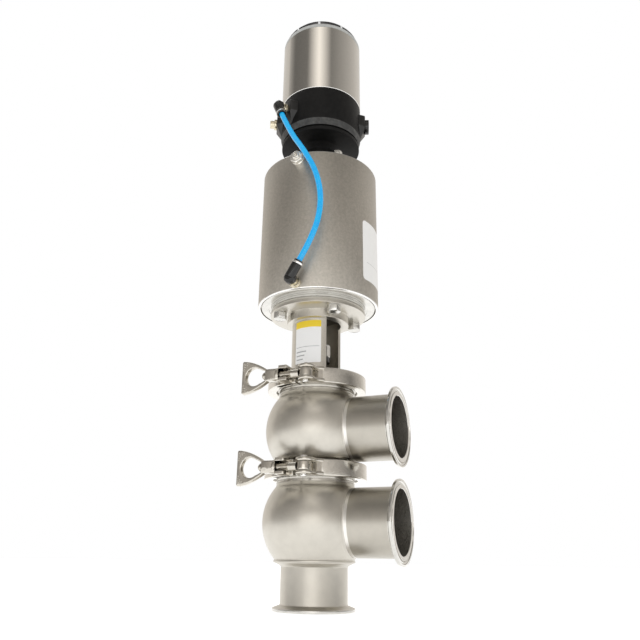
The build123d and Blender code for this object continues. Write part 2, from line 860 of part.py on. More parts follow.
# Steel cover of the head with its lens on top
lens_overlap = 2.0
lens_seat_radius = lens_crown_radius - lens_overlap
cover_bend = 1.0
cover_bend_step = 0.3
inner_bend = 0.6
cover_bore = cover_radius - cover_wall
lens_bevel = 0.9
with BuildPart() as head_cover:
    turned(
        [
            (cover_bore, head_edge),
            (cover_radius, head_edge),
            (cover_radius, cover_top - cover_bend),
            (cover_radius - cover_bend_step, cover_top - cover_bend_step),
            (cover_radius - cover_bend, cover_top),
            (lens_seat_radius, cover_top),
            (lens_seat_radius, cover_top - cover_wall),
            (cover_bore - inner_bend, cover_top - cover_wall),
            (cover_bore, cover_top - cover_wall - inner_bend),
        ]
    )
save(head_cover, "head_cover")

with BuildPart() as head_lens:
    turned(
        [
            (lens_seat_radius - lens_wall, cover_top - cover_wall),
            (lens_seat_radius, cover_top - cover_wall),
            (lens_seat_radius, cover_top),
            (lens_radius, cover_top),
            (lens_radius, cover_top + lens_rim_height - lens_bevel),
            (lens_radius - lens_bevel, cover_top + lens_rim_height),
            (lens_crown_radius, cover_top + lens_rim_height),
            (lens_crown_radius, cover_top + lens_height - lens_bevel),
            (lens_crown_radius - lens_bevel, cover_top + lens_height),
            (0, cover_top + lens_height),
            (0, cover_top + lens_height - lens_wall),
            (lens_seat_radius - lens_wall, cover_top + lens_height - lens_wall),
        ]
    )
save(head_lens, "head_lens")

# What the head holds: board, sensor and pilot valve, standing on its floor
board_width = 60.0
board_thickness = 1.6
board_height = 90.0
board_line = 18.0
sensor_depth = 7.0
sensor_width = 16.0
sensor_height = 62.0
pilot_size = (18.0, 22.0, 42.0)
pilot_place = (-24.0, -6.0)
head_floor_level = adapter_top + head_floor
on_floor_behind = (Align.CENTER, Align.MIN, Align.MIN)
on_floor_before = (Align.CENTER, Align.MAX, Align.MIN)
with BuildPart() as circuit_board:
    with Locations((0, board_line, head_floor_level)):
        Box(board_width, board_thickness, board_height, align=on_floor_behind)
save(circuit_board, "circuit_board")

with BuildPart() as position_sensor:
    with Locations((0, board_line, head_floor_level)):
        Box(sensor_width, sensor_depth, sensor_height, align=on_floor_before)
save(position_sensor, "position_sensor")

with BuildPart() as pilot_valve:
    with Locations((*pilot_place, head_floor_level)):
        Box(*pilot_size, align=(Align.CENTER, Align.CENTER, Align.MIN))
save(pilot_valve, "pilot_valve")

# Silencer and blanking plug in two of the head's bosses
plug_thread_end = head_bore + thread_end_play
silencer_base_radius = 6.2
silencer_base = 3.0
silencer_barrel_radius = 4.6
silencer_length = 8.0
silencer_bevel = 1.5
with BuildPart() as silencer:
    turned_out(
        side_plane(silencer_angle, boss_level),
        [
            (plug_thread_end, 0),
            (boss_face + silencer_length, 0),
            (boss_face + silencer_length, silencer_barrel_radius - silencer_bevel),
            (boss_face + silencer_length - silencer_bevel, silencer_barrel_radius),
            (boss_face + silencer_base, silencer_barrel_radius),
            (boss_face + silencer_base, silencer_base_radius),
            (boss_face, silencer_base_radius),
            (boss_face, port_thread_radius),
            (plug_thread_end, port_thread_radius),
        ],
    )
save(silencer, "silencer")

blank_head_radius = 8.6
blank_head_length = 4.5
blank_bevel = 1.0
with BuildPart() as blanking_plug:
    turned_out(
        side_plane(blank_plug_angle, boss_level),
        [
            (plug_thread_end, 0),
            (boss_face + blank_head_length, 0),
            (boss_face + blank_head_length, blank_head_radius - blank_bevel),
            (boss_face + blank_head_length - blank_bevel, blank_head_radius),
            (boss_face, blank_head_radius),
            (boss_face, port_thread_radius),
            (plug_thread_end, port_thread_radius),
        ],
    )
save(blanking_plug, "blanking_plug")

# Push-in elbows: a metal nipple in the port, and a black body turned along the tube
elbow_body_radius = 6.2
elbow_bevel = 1.2
elbow_swivel_half = 6.0
nipple_radius = 4.4
nipple_collar = 4.0
nipple_collar_radius = 5.8
collet_radius = 5.6


def make_nipple(angle, height, inner_end, wall, reach):
    """Screwed nipple from inside the wall out to the elbow's swivel."""
    with BuildPart() as nipple:
        turned_out(
            side_plane(angle, height),
            [
                (inner_end, 0),
                (reach - elbow_swivel_half, 0),
                (reach - elbow_swivel_half, nipple_radius),
                (wall + nipple_collar, nipple_radius),
                (wall + nipple_collar, nipple_collar_radius),
                (wall, nipple_collar_radius),
                (wall, port_thread_radius),
                (inner_end, port_thread_radius),
            ],
        )
    return nipple


def make_elbow(angle, height, reach, target):
    """Elbow body with its swivel on the nipple and its arm aimed at the tube's first corner."""
    plane = side_plane(angle, height)
    centre = plane.origin + plane.x_dir * reach
    arm_way = (target - centre).normalized()
    with BuildPart() as elbow:
        turned_out(
            plane,
            [
                (reach - elbow_swivel_half, 0),
                (reach + elbow_swivel_half, 0),
                (reach + elbow_swivel_half, elbow_body_radius - elbow_bevel),
                (reach + elbow_swivel_half - elbow_bevel, elbow_body_radius),
                (reach - elbow_swivel_half, elbow_body_radius),
            ],
        )
        with BuildSketch(Plane(origin=centre, z_dir=arm_way)):
            Circle(collet_radius)
        extrude(amount=elbow_arm_length)
    return elbow, centre + arm_way * elbow_arm_length


lower_thread_end = cylinder_bore - port_depth
lower_nipple = make_nipple(
    lower_fitting_angle, lower_fitting_height, lower_thread_end, actuator_radius, lower_elbow_reach
)
save(lower_nipple, "lower_nipple")
lower_elbow, tube_end = make_elbow(
    lower_fitting_angle, lower_fitting_height, lower_elbow_reach, tube_corners[-1]
)
save(lower_elbow, "lower_elbow")
head_nipple = make_nipple(head_fitting_angle, boss_level, plug_thread_end, boss_face, head_elbow_reach)
save(head_nipple, "head_nipple")
head_elbow, tube_start = make_elbow(head_fitting_angle, boss_level, head_elbow_reach, tube_corners[0])
save(head_elbow, "head_elbow")

# Air tube from the head down to the actuator, bowed out to the right of the elbows
tube_route = [tube_start, *tube_corners, tube_end]
bend_radii = []
for before, corner, after in zip(tube_route, tube_route[1:], tube_route[2:]):
    run_in = corner - before
    run_out = after - corner
    turn_angle = math.radians(run_in.get_angle(run_out))
    bend_radii.append(0.45 * min(run_in.length, run_out.length) / math.tan(turn_angle / 2))
with BuildPart() as air_tube:
    with BuildLine() as tube_path:
        FilletPolyline(*tube_route, radius=bend_radii)
    with BuildSketch(Plane(origin=tube_route[0], z_dir=tube_path.line % 0)) as tube_section:
        Circle(air_tube_radius)
    sweep(tube_section.sketch, path=tube_path.line)
save(air_tube, "air_tube")
tube_length = sum(edge.length for edge in tube_path.edges())
section_volume = math.pi * air_tube_radius**2 * tube_length
print("tube length", round(tube_length, 1))
print("tube bend radii", [round(radius) for radius in bend_radii])
print("tube volume share", round(air_tube.part.volume / section_volume, 5))
print("tube route", [tuple(round(value, 2) for value in point) for point in tube_route])

# Two-piece clamps: fixed half, swinging half, pins, swing bolt and wing nut
rim_half = joint_gap / 2 + joint_rim
groove_mouth_half = rim_half + (joint_rim_radius - clamp_lip_radius) * ferrule_slope + clamp_play
groove_floor_half = rim_half - (clamp_groove_radius - joint_rim_radius) * ferrule_slope + clamp_play
clamp_half = clamp_height / 2
clamp_edge = 1.2
ear_clear_radius = 48.0
fork_half = bolt_radius + 0.15
eye_half = bolt_radius - 0.05
eye_radius = 6.6
slot_half = bolt_radius + 0.5
slot_lead = 0.4
nut_play = 0.05
knuckle_arm = 9.0
knuckle_gap = 0.1
knuckle_relief = knuckle_radius + 0.4
fork_centre = pivot_offset + 1.0
fork_slot_relief = 1.8
fork_slot_depth = ear_depth - bolt_line + eye_radius + fork_slot_relief

# Outline of the wing nut, seen from the front
nut_face = pivot_offset - nut_seat_radius - nut_play
neck_end = nut_face - nut_neck_length
neck_overlap = 1.0
neck_corner_radius = 2.0
loop_end = neck_end - loop_length
loop_middle = neck_end - loop_length / 2
loop_middle_half = 13.6
loop_hole_radius = 9.3
loop_bar = 4.2
loop_hole_centre = loop_end + loop_bar + loop_hole_radius
loop_hole_tip = neck_end - 2.2
loop_tip_half = 4.2
loop_flank = 3.0
loop_flank_drop = 0.5


def clamp_band(joint, way):
    """Half of the grooved band, on the +X or -X side."""
    outline = [
        (clamp_lip_radius, clamp_half),
        (clamp_radius - clamp_edge, clamp_half),
        (clamp_radius, clamp_half - clamp_edge),
        (clamp_radius, -clamp_half + clamp_edge),
        (clamp_radius - clamp_edge, -clamp_half),
        (clamp_lip_radius, -clamp_half),
        (clamp_lip_radius, -groove_mouth_half),
        (clamp_groove_radius, -groove_floor_half),
        (clamp_groove_radius, groove_floor_half),
        (clamp_lip_radius, groove_mouth_half),
    ]
    turned([(radius, joint + height) for radius, height in outline])
    with Locations((way * clamp_split / 2, 0, joint)):
        lean = Align.MAX if way > 0 else Align.MIN
        aside = (lean, Align.CENTER, Align.CENTER)
        Box(3 * clamp_radius, 3 * clamp_radius, 2 * clamp_height, align=aside, mode=Mode.SUBTRACT)


def knuckle(joint, way, low, high):
    """Hinge knuckle behind the band, joined to the half on the +X or -X side."""
    with BuildPart() as lug:
        with BuildSketch(Plane.XY.offset(joint + low)):
            with Locations((0, hinge_line)):
                Circle(knuckle_radius)
            with Locations((way * knuckle_arm / 2, hinge_line - knuckle_radius / 2)):
                Rectangle(knuckle_arm, knuckle_radius)
            Circle(ear_clear_radius, mode=Mode.SUBTRACT)
        extrude(amount=high - low)
    return lug


for side, joint in (("lower", lower_joint), ("upper", upper_joint)):
    pivot = (pivot_offset, -bolt_line)

    # Fixed half with the fork that holds the swing bolt
    with BuildPart() as fork:
        with BuildSketch(Plane.XY.offset(joint - clamp_half)):
            with Locations((fork_centre, -ear_depth)):
                Rectangle(fork_width, ear_depth - ear_root, align=(Align.CENTER, Align.MIN))
            Circle(ear_clear_radius, mode=Mode.SUBTRACT)
        extrude(amount=clamp_height)
        fillet(fork.edges().filter_by(Axis.Z).group_by(Axis.Y)[0], fork_corner_radius)
        with BuildSketch(Plane.XY.offset(joint - fork_half)):
            with Locations((fork_centre, -ear_depth - 1)):
                Rectangle(fork_width + 2, fork_slot_depth + 1, align=(Align.CENTER, Align.MIN))
        extrude(amount=2 * fork_half, mode=Mode.SUBTRACT)
        with Locations(Location((*pivot, joint))):
            Cylinder(pin_radius, 2 * clamp_height, mode=Mode.SUBTRACT)
    fixed_knuckle = knuckle(joint, 1, -knuckle_half, knuckle_half)
    with BuildPart() as fixed_half:
        clamp_band(joint, 1)
        with Locations((0, hinge_line, joint)):
            Cylinder(knuckle_relief, 2 * clamp_height, mode=Mode.SUBTRACT)
        add(fixed_knuckle.part)
        add(fork.part)
        with Locations((0, hinge_line, joint)):
            Cylinder(pin_radius, 2 * clamp_height, mode=Mode.SUBTRACT)
    save(fixed_half, f"{side}_clamp_fixed_half")

    # Swinging half with the slotted ear that the nut bears on
    with BuildPart() as ear:
        with BuildSketch(Plane.XY.offset(joint - clamp_half)):
            with Locations((-ear_gap, -ear_depth)):
                Rectangle(ear_width, ear_depth - ear_root, align=(Align.MAX, Align.MIN))
            Circle(ear_clear_radius, mode=Mode.SUBTRACT)
            with Locations(pivot):
                Circle(nut_seat_radius, mode=Mode.INTERSECT)
        extrude(amount=clamp_height)
        with BuildSketch(Plane.YZ.offset(-ear_gap - ear_width - 1)):
            with Locations((-bolt_line + slot_half - slot_lead, joint)):
                Circle(slot_half)
                Rectangle(ear_depth, 2 * slot_half, align=(Align.MAX, Align.CENTER))
        extrude(amount=ear_width + 2, mode=Mode.SUBTRACT)
    swing_knuckles = (
        knuckle(joint, -1, -clamp_half, -knuckle_half - knuckle_gap),
        knuckle(joint, -1, knuckle_half + knuckle_gap, clamp_half),
    )
    with BuildPart() as swing_half:
        clamp_band(joint, -1)
        with Locations((0, hinge_line, joint)):
            Cylinder(knuckle_relief, 2 * (knuckle_half + knuckle_gap), mode=Mode.SUBTRACT)
        for swing_knuckle in swing_knuckles:
            add(swing_knuckle.part)
        add(ear.part)
        with Locations((0, hinge_line, joint)):
            Cylinder(pin_radius + running_gap, 2 * clamp_height, mode=Mode.SUBTRACT)
    save(swing_half, f"{side}_clamp_swing_half")

    # Two like pins: the hinge pin and the swing bolt's pivot
    with BuildPart() as pins:
        with Locations((0, hinge_line, joint), (*pivot, joint)):
            Cylinder(pin_radius, pin_length)
    save(pins, f"{side}_clamp_pins")

    # Swing bolt: eye round the pivot, shank towards the nut, domed end
    with BuildPart() as swing_bolt:
        with BuildSketch(Plane.XY.offset(joint - eye_half)):
            with Locations(pivot):
                Circle(eye_radius)
        extrude(amount=2 * eye_half)
        with BuildSketch(Plane.YZ.offset(bolt_radius - bolt_end)):
            with Locations((-bolt_line, joint)):
                Circle(bolt_radius)
        extrude(amount=pivot_offset + bolt_end - bolt_radius)
        with Locations((bolt_radius - bolt_end, -bolt_line, joint)):
            Sphere(bolt_radius)
        with Locations((*pivot, joint)):
            Cylinder(pin_radius + running_gap, 2 * clamp_height, mode=Mode.SUBTRACT)
    save(swing_bolt, f"{side}_clamp_bolt")

    # Wing nut: square neck on the bolt and a wide open loop to turn it by
    loop_plane = Plane(origin=(0, -bolt_line, joint), x_dir=(1, 0, 0), z_dir=(0, -1, 0))
    with BuildPart() as wing_nut:
        with BuildSketch(loop_plane):
            with BuildLine():
                ThreePointArc(
                    (neck_end, nut_neck_half),
                    (loop_middle, loop_middle_half),
                    (loop_end, loop_half_height),
                )
                Line((loop_end, loop_half_height), (loop_end, -loop_half_height))
                ThreePointArc(
                    (loop_end, -loop_half_height),
                    (loop_middle, -loop_middle_half),
                    (neck_end, -nut_neck_half),
                )
                Line((neck_end, -nut_neck_half), (neck_end, nut_neck_half))
            make_face()
        extrude(amount=loop_thickness / 2, both=True)
        with BuildSketch(Plane.YZ.offset(neck_end - neck_overlap)):
            with Locations((-bolt_line, joint)):
                RectangleRounded(2 * nut_neck_half, 2 * nut_neck_half, neck_corner_radius)
        extrude(amount=nut_neck_length + neck_overlap)
        with BuildSketch(loop_plane):
            with Locations((loop_hole_centre, 0)):
                Circle(loop_hole_radius)
            with BuildLine():
                Polyline(
                    (loop_hole_tip, loop_tip_half),
                    (loop_hole_centre + loop_flank, loop_hole_radius - loop_flank_drop),
                    (loop_hole_centre + loop_flank, loop_flank_drop - loop_hole_radius),
                    (loop_hole_tip, -loop_tip_half),
                    close=True,
                )
            make_face()
        extrude(amount=loop_thickness, both=True, mode=Mode.SUBTRACT)
        with BuildSketch(Plane.YZ.offset(loop_hole_tip - neck_overlap)):
            with Locations((-bolt_line, joint)):
                Circle(bolt_radius + running_gap)
        extrude(amount=nut_face - loop_hole_tip + 2 * neck_overlap, mode=Mode.SUBTRACT)
    save(wing_nut, f"{side}_clamp_wing_nut")
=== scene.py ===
"""Visual model of a mixproof valve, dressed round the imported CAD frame."""

import logging
import math
from collections.abc import Callable, Iterable, Sequence
from dataclasses import dataclass, field
from enum import Enum

import bmesh
import bpy
from bpy.types import Material, NodeSocket, Object
from mathutils import Matrix, Vector


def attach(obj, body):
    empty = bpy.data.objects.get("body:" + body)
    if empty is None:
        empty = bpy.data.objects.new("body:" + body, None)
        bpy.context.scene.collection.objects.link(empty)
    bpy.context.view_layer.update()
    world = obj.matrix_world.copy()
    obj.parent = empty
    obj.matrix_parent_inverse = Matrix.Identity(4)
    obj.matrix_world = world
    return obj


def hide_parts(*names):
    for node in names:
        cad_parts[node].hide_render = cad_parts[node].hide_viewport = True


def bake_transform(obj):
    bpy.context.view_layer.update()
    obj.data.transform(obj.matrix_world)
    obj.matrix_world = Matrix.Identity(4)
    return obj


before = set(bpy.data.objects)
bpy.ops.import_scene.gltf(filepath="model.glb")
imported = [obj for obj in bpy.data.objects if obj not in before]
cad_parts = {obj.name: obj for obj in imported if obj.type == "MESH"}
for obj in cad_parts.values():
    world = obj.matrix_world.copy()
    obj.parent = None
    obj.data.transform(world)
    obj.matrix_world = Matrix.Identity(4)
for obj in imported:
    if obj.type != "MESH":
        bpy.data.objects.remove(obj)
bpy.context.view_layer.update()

LOG = logging.getLogger("mixproof_valve")
MM = 0.001
FERRULE_SLOPE = math.tan(math.radians(20))
Point = tuple[float, float]
Colour = tuple[float, float, float]


# Outlines -------------------------------------------------------------------

def arc(centre: Point, radius: float, start: float, end: float, steps: int = 24) -> list[Point]:
    """Points along an arc.

    Args:
        centre: centre of the arc.
        radius: its radius.
        start: first bearing in degrees.
        end: last bearing in degrees.
        steps: number of runs.

    Returns:
        The points, both ends included.
    """
    points = []
    for step in range(steps + 1):
        bearing = math.radians(start + (end - start) * step / steps)
        points.append((centre[0] + radius * math.cos(bearing), centre[1] + radius * math.sin(bearing)))
    return points


def ball_arc(centre: float, radius: float, first: float, last: float, lower: bool, upper: bool) -> list[Point]:
    """Outline of a ball between two distances from the axis.

    Args:
        centre: height of the ball's centre.
        radius: radius of the ball.
        first: distance from the axis at the start.
        last: distance from the axis at the end.
        lower: whether the start lies under the centre.
        upper: whether the end lies over the centre.

    Returns:
        Points of (radius, height).
    """
    start = math.degrees(math.acos(first / radius)) * (-1 if lower else 1)
    end = math.degrees(math.acos(last / radius)) * (1 if upper else -1)
    return arc((0, centre), radius, start, end, 40)


def eased(outline: Sequence[Point], width: float, steps: int = 3, turn_limit: float = 18) -> list[Point]:
    """Round the corners of a closed outline.

    Args:
        outline: the corners in order.
        width: radius of the rounding.
        steps: runs in each rounding.
        turn_limit: corners that turn less than this many degrees stay.

    Returns:
        The rounded outline.
    """
    count = len(outline)
    points: list[Point] = []
    for index, corner in enumerate(outline):
        before = Vector(outline[index - 1])
        here = Vector(corner)
        after = Vector(outline[(index + 1) % count])
        run_in, run_out = here - before, after - here
        on_axis = corner[0] < 1e-6
        if on_axis or run_in.length < 1e-6 or run_out.length < 1e-6:
            points.append(corner)
            continue
        turn = run_in.angle(run_out)
        if math.degrees(turn) < turn_limit:
            points.append(corner)
            continue
        reach = min(width * math.tan(turn / 2), 0.42 * run_in.length, 0.42 * run_out.length)
        start = here - run_in.normalized() * reach
        end = here + run_out.normalized() * reach
        for step in range(steps + 1):
            share = step / steps
            spot = start * (1 - share) ** 2 + here * 2 * share * (1 - share) + end * share**2
            points.append((spot.x, spot.y))
    return points


def chord(radius: float, reach: float) -> float:
    """Distance from a ball's centre at which a circle of this reach lies on it."""
    return math.sqrt(radius**2 - reach**2)


# Placing --------------------------------------------------------------------

def lying(height: float, bearing: float = 0.0) -> Matrix:
    """Place for a shape turned about Z that points out of the valve's axis.

    Args:
        height: height at which it points out.
        bearing: its compass bearing in degrees, from +X.

    Returns:
        The matrix that lays it down.
    """
    return (
        Matrix.Translation((0, 0, height))
        @ Matrix.Rotation(math.radians(bearing), 4, "Z")
        @ Matrix.Rotation(math.radians(90), 4, "Y")
    )


def aimed(origin: Vector, way: Vector) -> Matrix:
    """Place for a shape turned about Z whose axis leaves a point in a direction.

    Args:
        origin: where the shape's own origin goes.
        way: direction of its axis.

    Returns:
        The matrix that places it.
    """
    return Matrix.Translation(origin) @ way.to_track_quat("Z", "Y").to_matrix().to_4x4()


class Solid:
    """A closed mesh in the making, in millimetres."""

    def __init__(self) -> None:
        """Start with nothing."""
        self.mesh = bmesh.new()

    @classmethod
    def turned(cls, outline: Sequence[Point], steps: int = 96, ease: float = 0.0) -> "Solid":
        """Turn a closed outline about the Z axis.

        Args:
            outline: points of (radius, height).
            steps: number of sides.
            ease: radius that its corners are rounded with.

        Returns:
            The new solid.
        """
        solid = cls()
        points = eased(outline, ease) if ease else list(outline)
        mesh = solid.mesh
        verts = [mesh.verts.new((radius, 0, height)) for radius, height in points]
        edges = [mesh.edges.new((verts[index - 1], verts[index])) for index in range(len(verts))]
        bmesh.ops.spin(
            mesh, geom=verts + edges, cent=(0, 0, 0), axis=(0, 0, 1), dvec=(0, 0, 0),
            angle=math.tau, steps=steps, use_merge=True, use_duplicate=False,
        )
        bmesh.ops.remove_doubles(mesh, verts=mesh.verts, dist=1e-4)
        solid.drop_loose()
        bmesh.ops.recalc_face_normals(mesh, faces=mesh.faces)
        return solid

    @classmethod
    def prism(cls, outline: Sequence[Point], foot: float, top: float) -> "Solid":
        """Raise a closed outline of (x, y) points between two heights.

        Args:
            outline: the corners in order.
            foot: lower height.
            top: upper height.

        Returns:
            The new solid.
        """
        solid = cls()
        mesh = solid.mesh
        face = mesh.faces.new([mesh.verts.new((x, y, foot)) for x, y in outline])
        raised = bmesh.ops.extrude_face_region(mesh, geom=[face], use_keep_orig=True)
        verts = [item for item in raised["geom"] if isinstance(item, bmesh.types.BMVert)]
        bmesh.ops.translate(mesh, verts=verts, vec=(0, 0, top - foot))
        bmesh.ops.recalc_face_normals(mesh, faces=mesh.faces)
        return solid

    @classmethod
    def ball(cls, radius: float, place: Matrix) -> "Solid":
        """Ball of a radius at a place."""
        solid = cls()
        bmesh.ops.create_uvsphere(solid.mesh, u_segments=16, v_segments=10, radius=radius, matrix=place)
        return solid

    @classmethod
    def rod(cls, radius: float, foot: float, top: float, steps: int = 48, ease: float = 0.4) -> "Solid":
        """Round rod on the Z axis with eased ends."""
        return cls.turned([(0, foot), (radius, foot), (radius, top), (0, top)], steps, ease)

    def drop_loose(self) -> None:
        """Delete edges and points that no face uses."""
        edges = [edge for edge in self.mesh.edges if not edge.link_faces]
        if edges:
            bmesh.ops.delete(self.mesh, geom=edges, context="EDGES")
        verts = [vert for vert in self.mesh.verts if not vert.link_edges]
        if verts:
            bmesh.ops.delete(self.mesh, geom=verts, context="VERTS")

    def moved(self, place: Matrix) -> "Solid":
        """Move the solid.

        Args:
            place: matrix that every point is multiplied by.

        Returns:
            The solid itself.
        """
        bmesh.ops.transform(self.mesh, matrix=place, verts=self.mesh.verts)
        if place.determinant() < 0:
            bmesh.ops.reverse_faces(self.mesh, faces=self.mesh.faces)
        return self

    def softened(self, width: float, segments: int = 2, angle: float = 30.0) -> "Solid":
        """Bevel every edge that is sharper than an angle.

        Args:
            width: width of the bevel.
            segments: steps across it.
            angle: edges that turn less than this many degrees stay.

        Returns:
            The solid itself.
        """
        limit = math.radians(angle)
        edges = [edge for edge in self.mesh.edges if edge.is_manifold and edge.calc_face_angle(0) > limit]
        bmesh.ops.bevel(
            self.mesh, geom=edges, offset=width, offset_type="OFFSET", segments=segments,
            profile=0.5, affect="EDGES", clamp_overlap=True, material=-1,
        )
        return self

    def sliced(self, point: tuple[float, float, float], way: tuple[float, float, float]) -> "Solid":
        """Cut off what lies beyond a plane and close the cut.

        Args:
            point: a point on the plane.
            way: direction of what is cut off.

        Returns:
            The solid itself.
        """
        geometry = self.mesh.verts[:] + self.mesh.edges[:] + self.mesh.faces[:]
        result = bmesh.ops.bisect_plane(
            self.mesh, geom=geometry, dist=1e-5, plane_co=point, plane_no=way, clear_outer=True
        )
        rims = [item for item in result["geom_cut"] if isinstance(item, bmesh.types.BMEdge)]
        bmesh.ops.holes_fill(self.mesh, edges=rims, sides=0)
        bmesh.ops.recalc_face_normals(self.mesh, faces=self.mesh.faces)
        return self

    def scratch(self, name: str) -> Object:
        """Temporary object that holds the solid for a modifier."""
        data = bpy.data.meshes.new(name)
        self.mesh.to_mesh(data)
        item = bpy.data.objects.new(name, data)
        bpy.context.scene.collection.objects.link(item)
        return item

    def combined(self, other: "Solid", operation: str) -> "Solid":
        """Combine the solid with another by an exact Boolean.

        Args:
            other: the second solid, which is used up.
            operation: UNION, DIFFERENCE or INTERSECT.

        Returns:
            The solid itself.
        """
        base, tool = self.scratch("base"), other.scratch("tool")
        modifier = base.modifiers.new("combine", "BOOLEAN")
        modifier.operation = operation
        modifier.solver = "EXACT"
        modifier.object = tool
        depsgraph = bpy.context.evaluated_depsgraph_get()
        result = bpy.data.meshes.new_from_object(base.evaluated_get(depsgraph))
        self.mesh.free()
        other.mesh.free()
        self.mesh = bmesh.new()
        self.mesh.from_mesh(result)
        for item in (base, tool):
            data = item.data
            bpy.data.objects.remove(item)
            bpy.data.meshes.remove(data)
        bpy.data.meshes.remove(result)
        bmesh.ops.remove_doubles(self.mesh, verts=self.mesh.verts, dist=1e-4)
        self.drop_loose()
        bmesh.ops.recalc_face_normals(self.mesh, faces=self.mesh.faces)
        return self

    def cut(self, other: "Solid") -> "Solid":
        """Take another solid out of this one."""
        return self.combined(other, "DIFFERENCE")

    def clipped(self, other: "Solid") -> "Solid":
        """Keep what this solid shares with another."""
        return self.combined(other, "INTERSECT")

    def with_solids(self, others: Iterable["Solid"]) -> "Solid":
        """Add other closed solids to the same mesh.

        Args:
            others: solids that are used up.

        Returns:
            The solid itself.
        """
        for other in others:
            data = bpy.data.meshes.new("part")
            other.mesh.to_mesh(data)
            other.mesh.free()
            self.mesh.from_mesh(data)
            bpy.data.meshes.remove(data)
        return self

    def painted(self, index: int, chosen: Callable[[Vector], bool]) -> "Solid":
        """Give faces another material slot.

        Args:
            index: the material slot.
            chosen: test of a face's middle.

        Returns:
            The solid itself.
        """
        for face in self.mesh.faces:
            if chosen(face.calc_center_median()):
                face.material_index = index
        return self


def united(solids: Iterable[Solid]) -> Solid:
    """Put solids in one mesh, one beside the other."""
    whole = Solid()
    return whole.with_solids(solids)


# Finishes -------------------------------------------------------------------

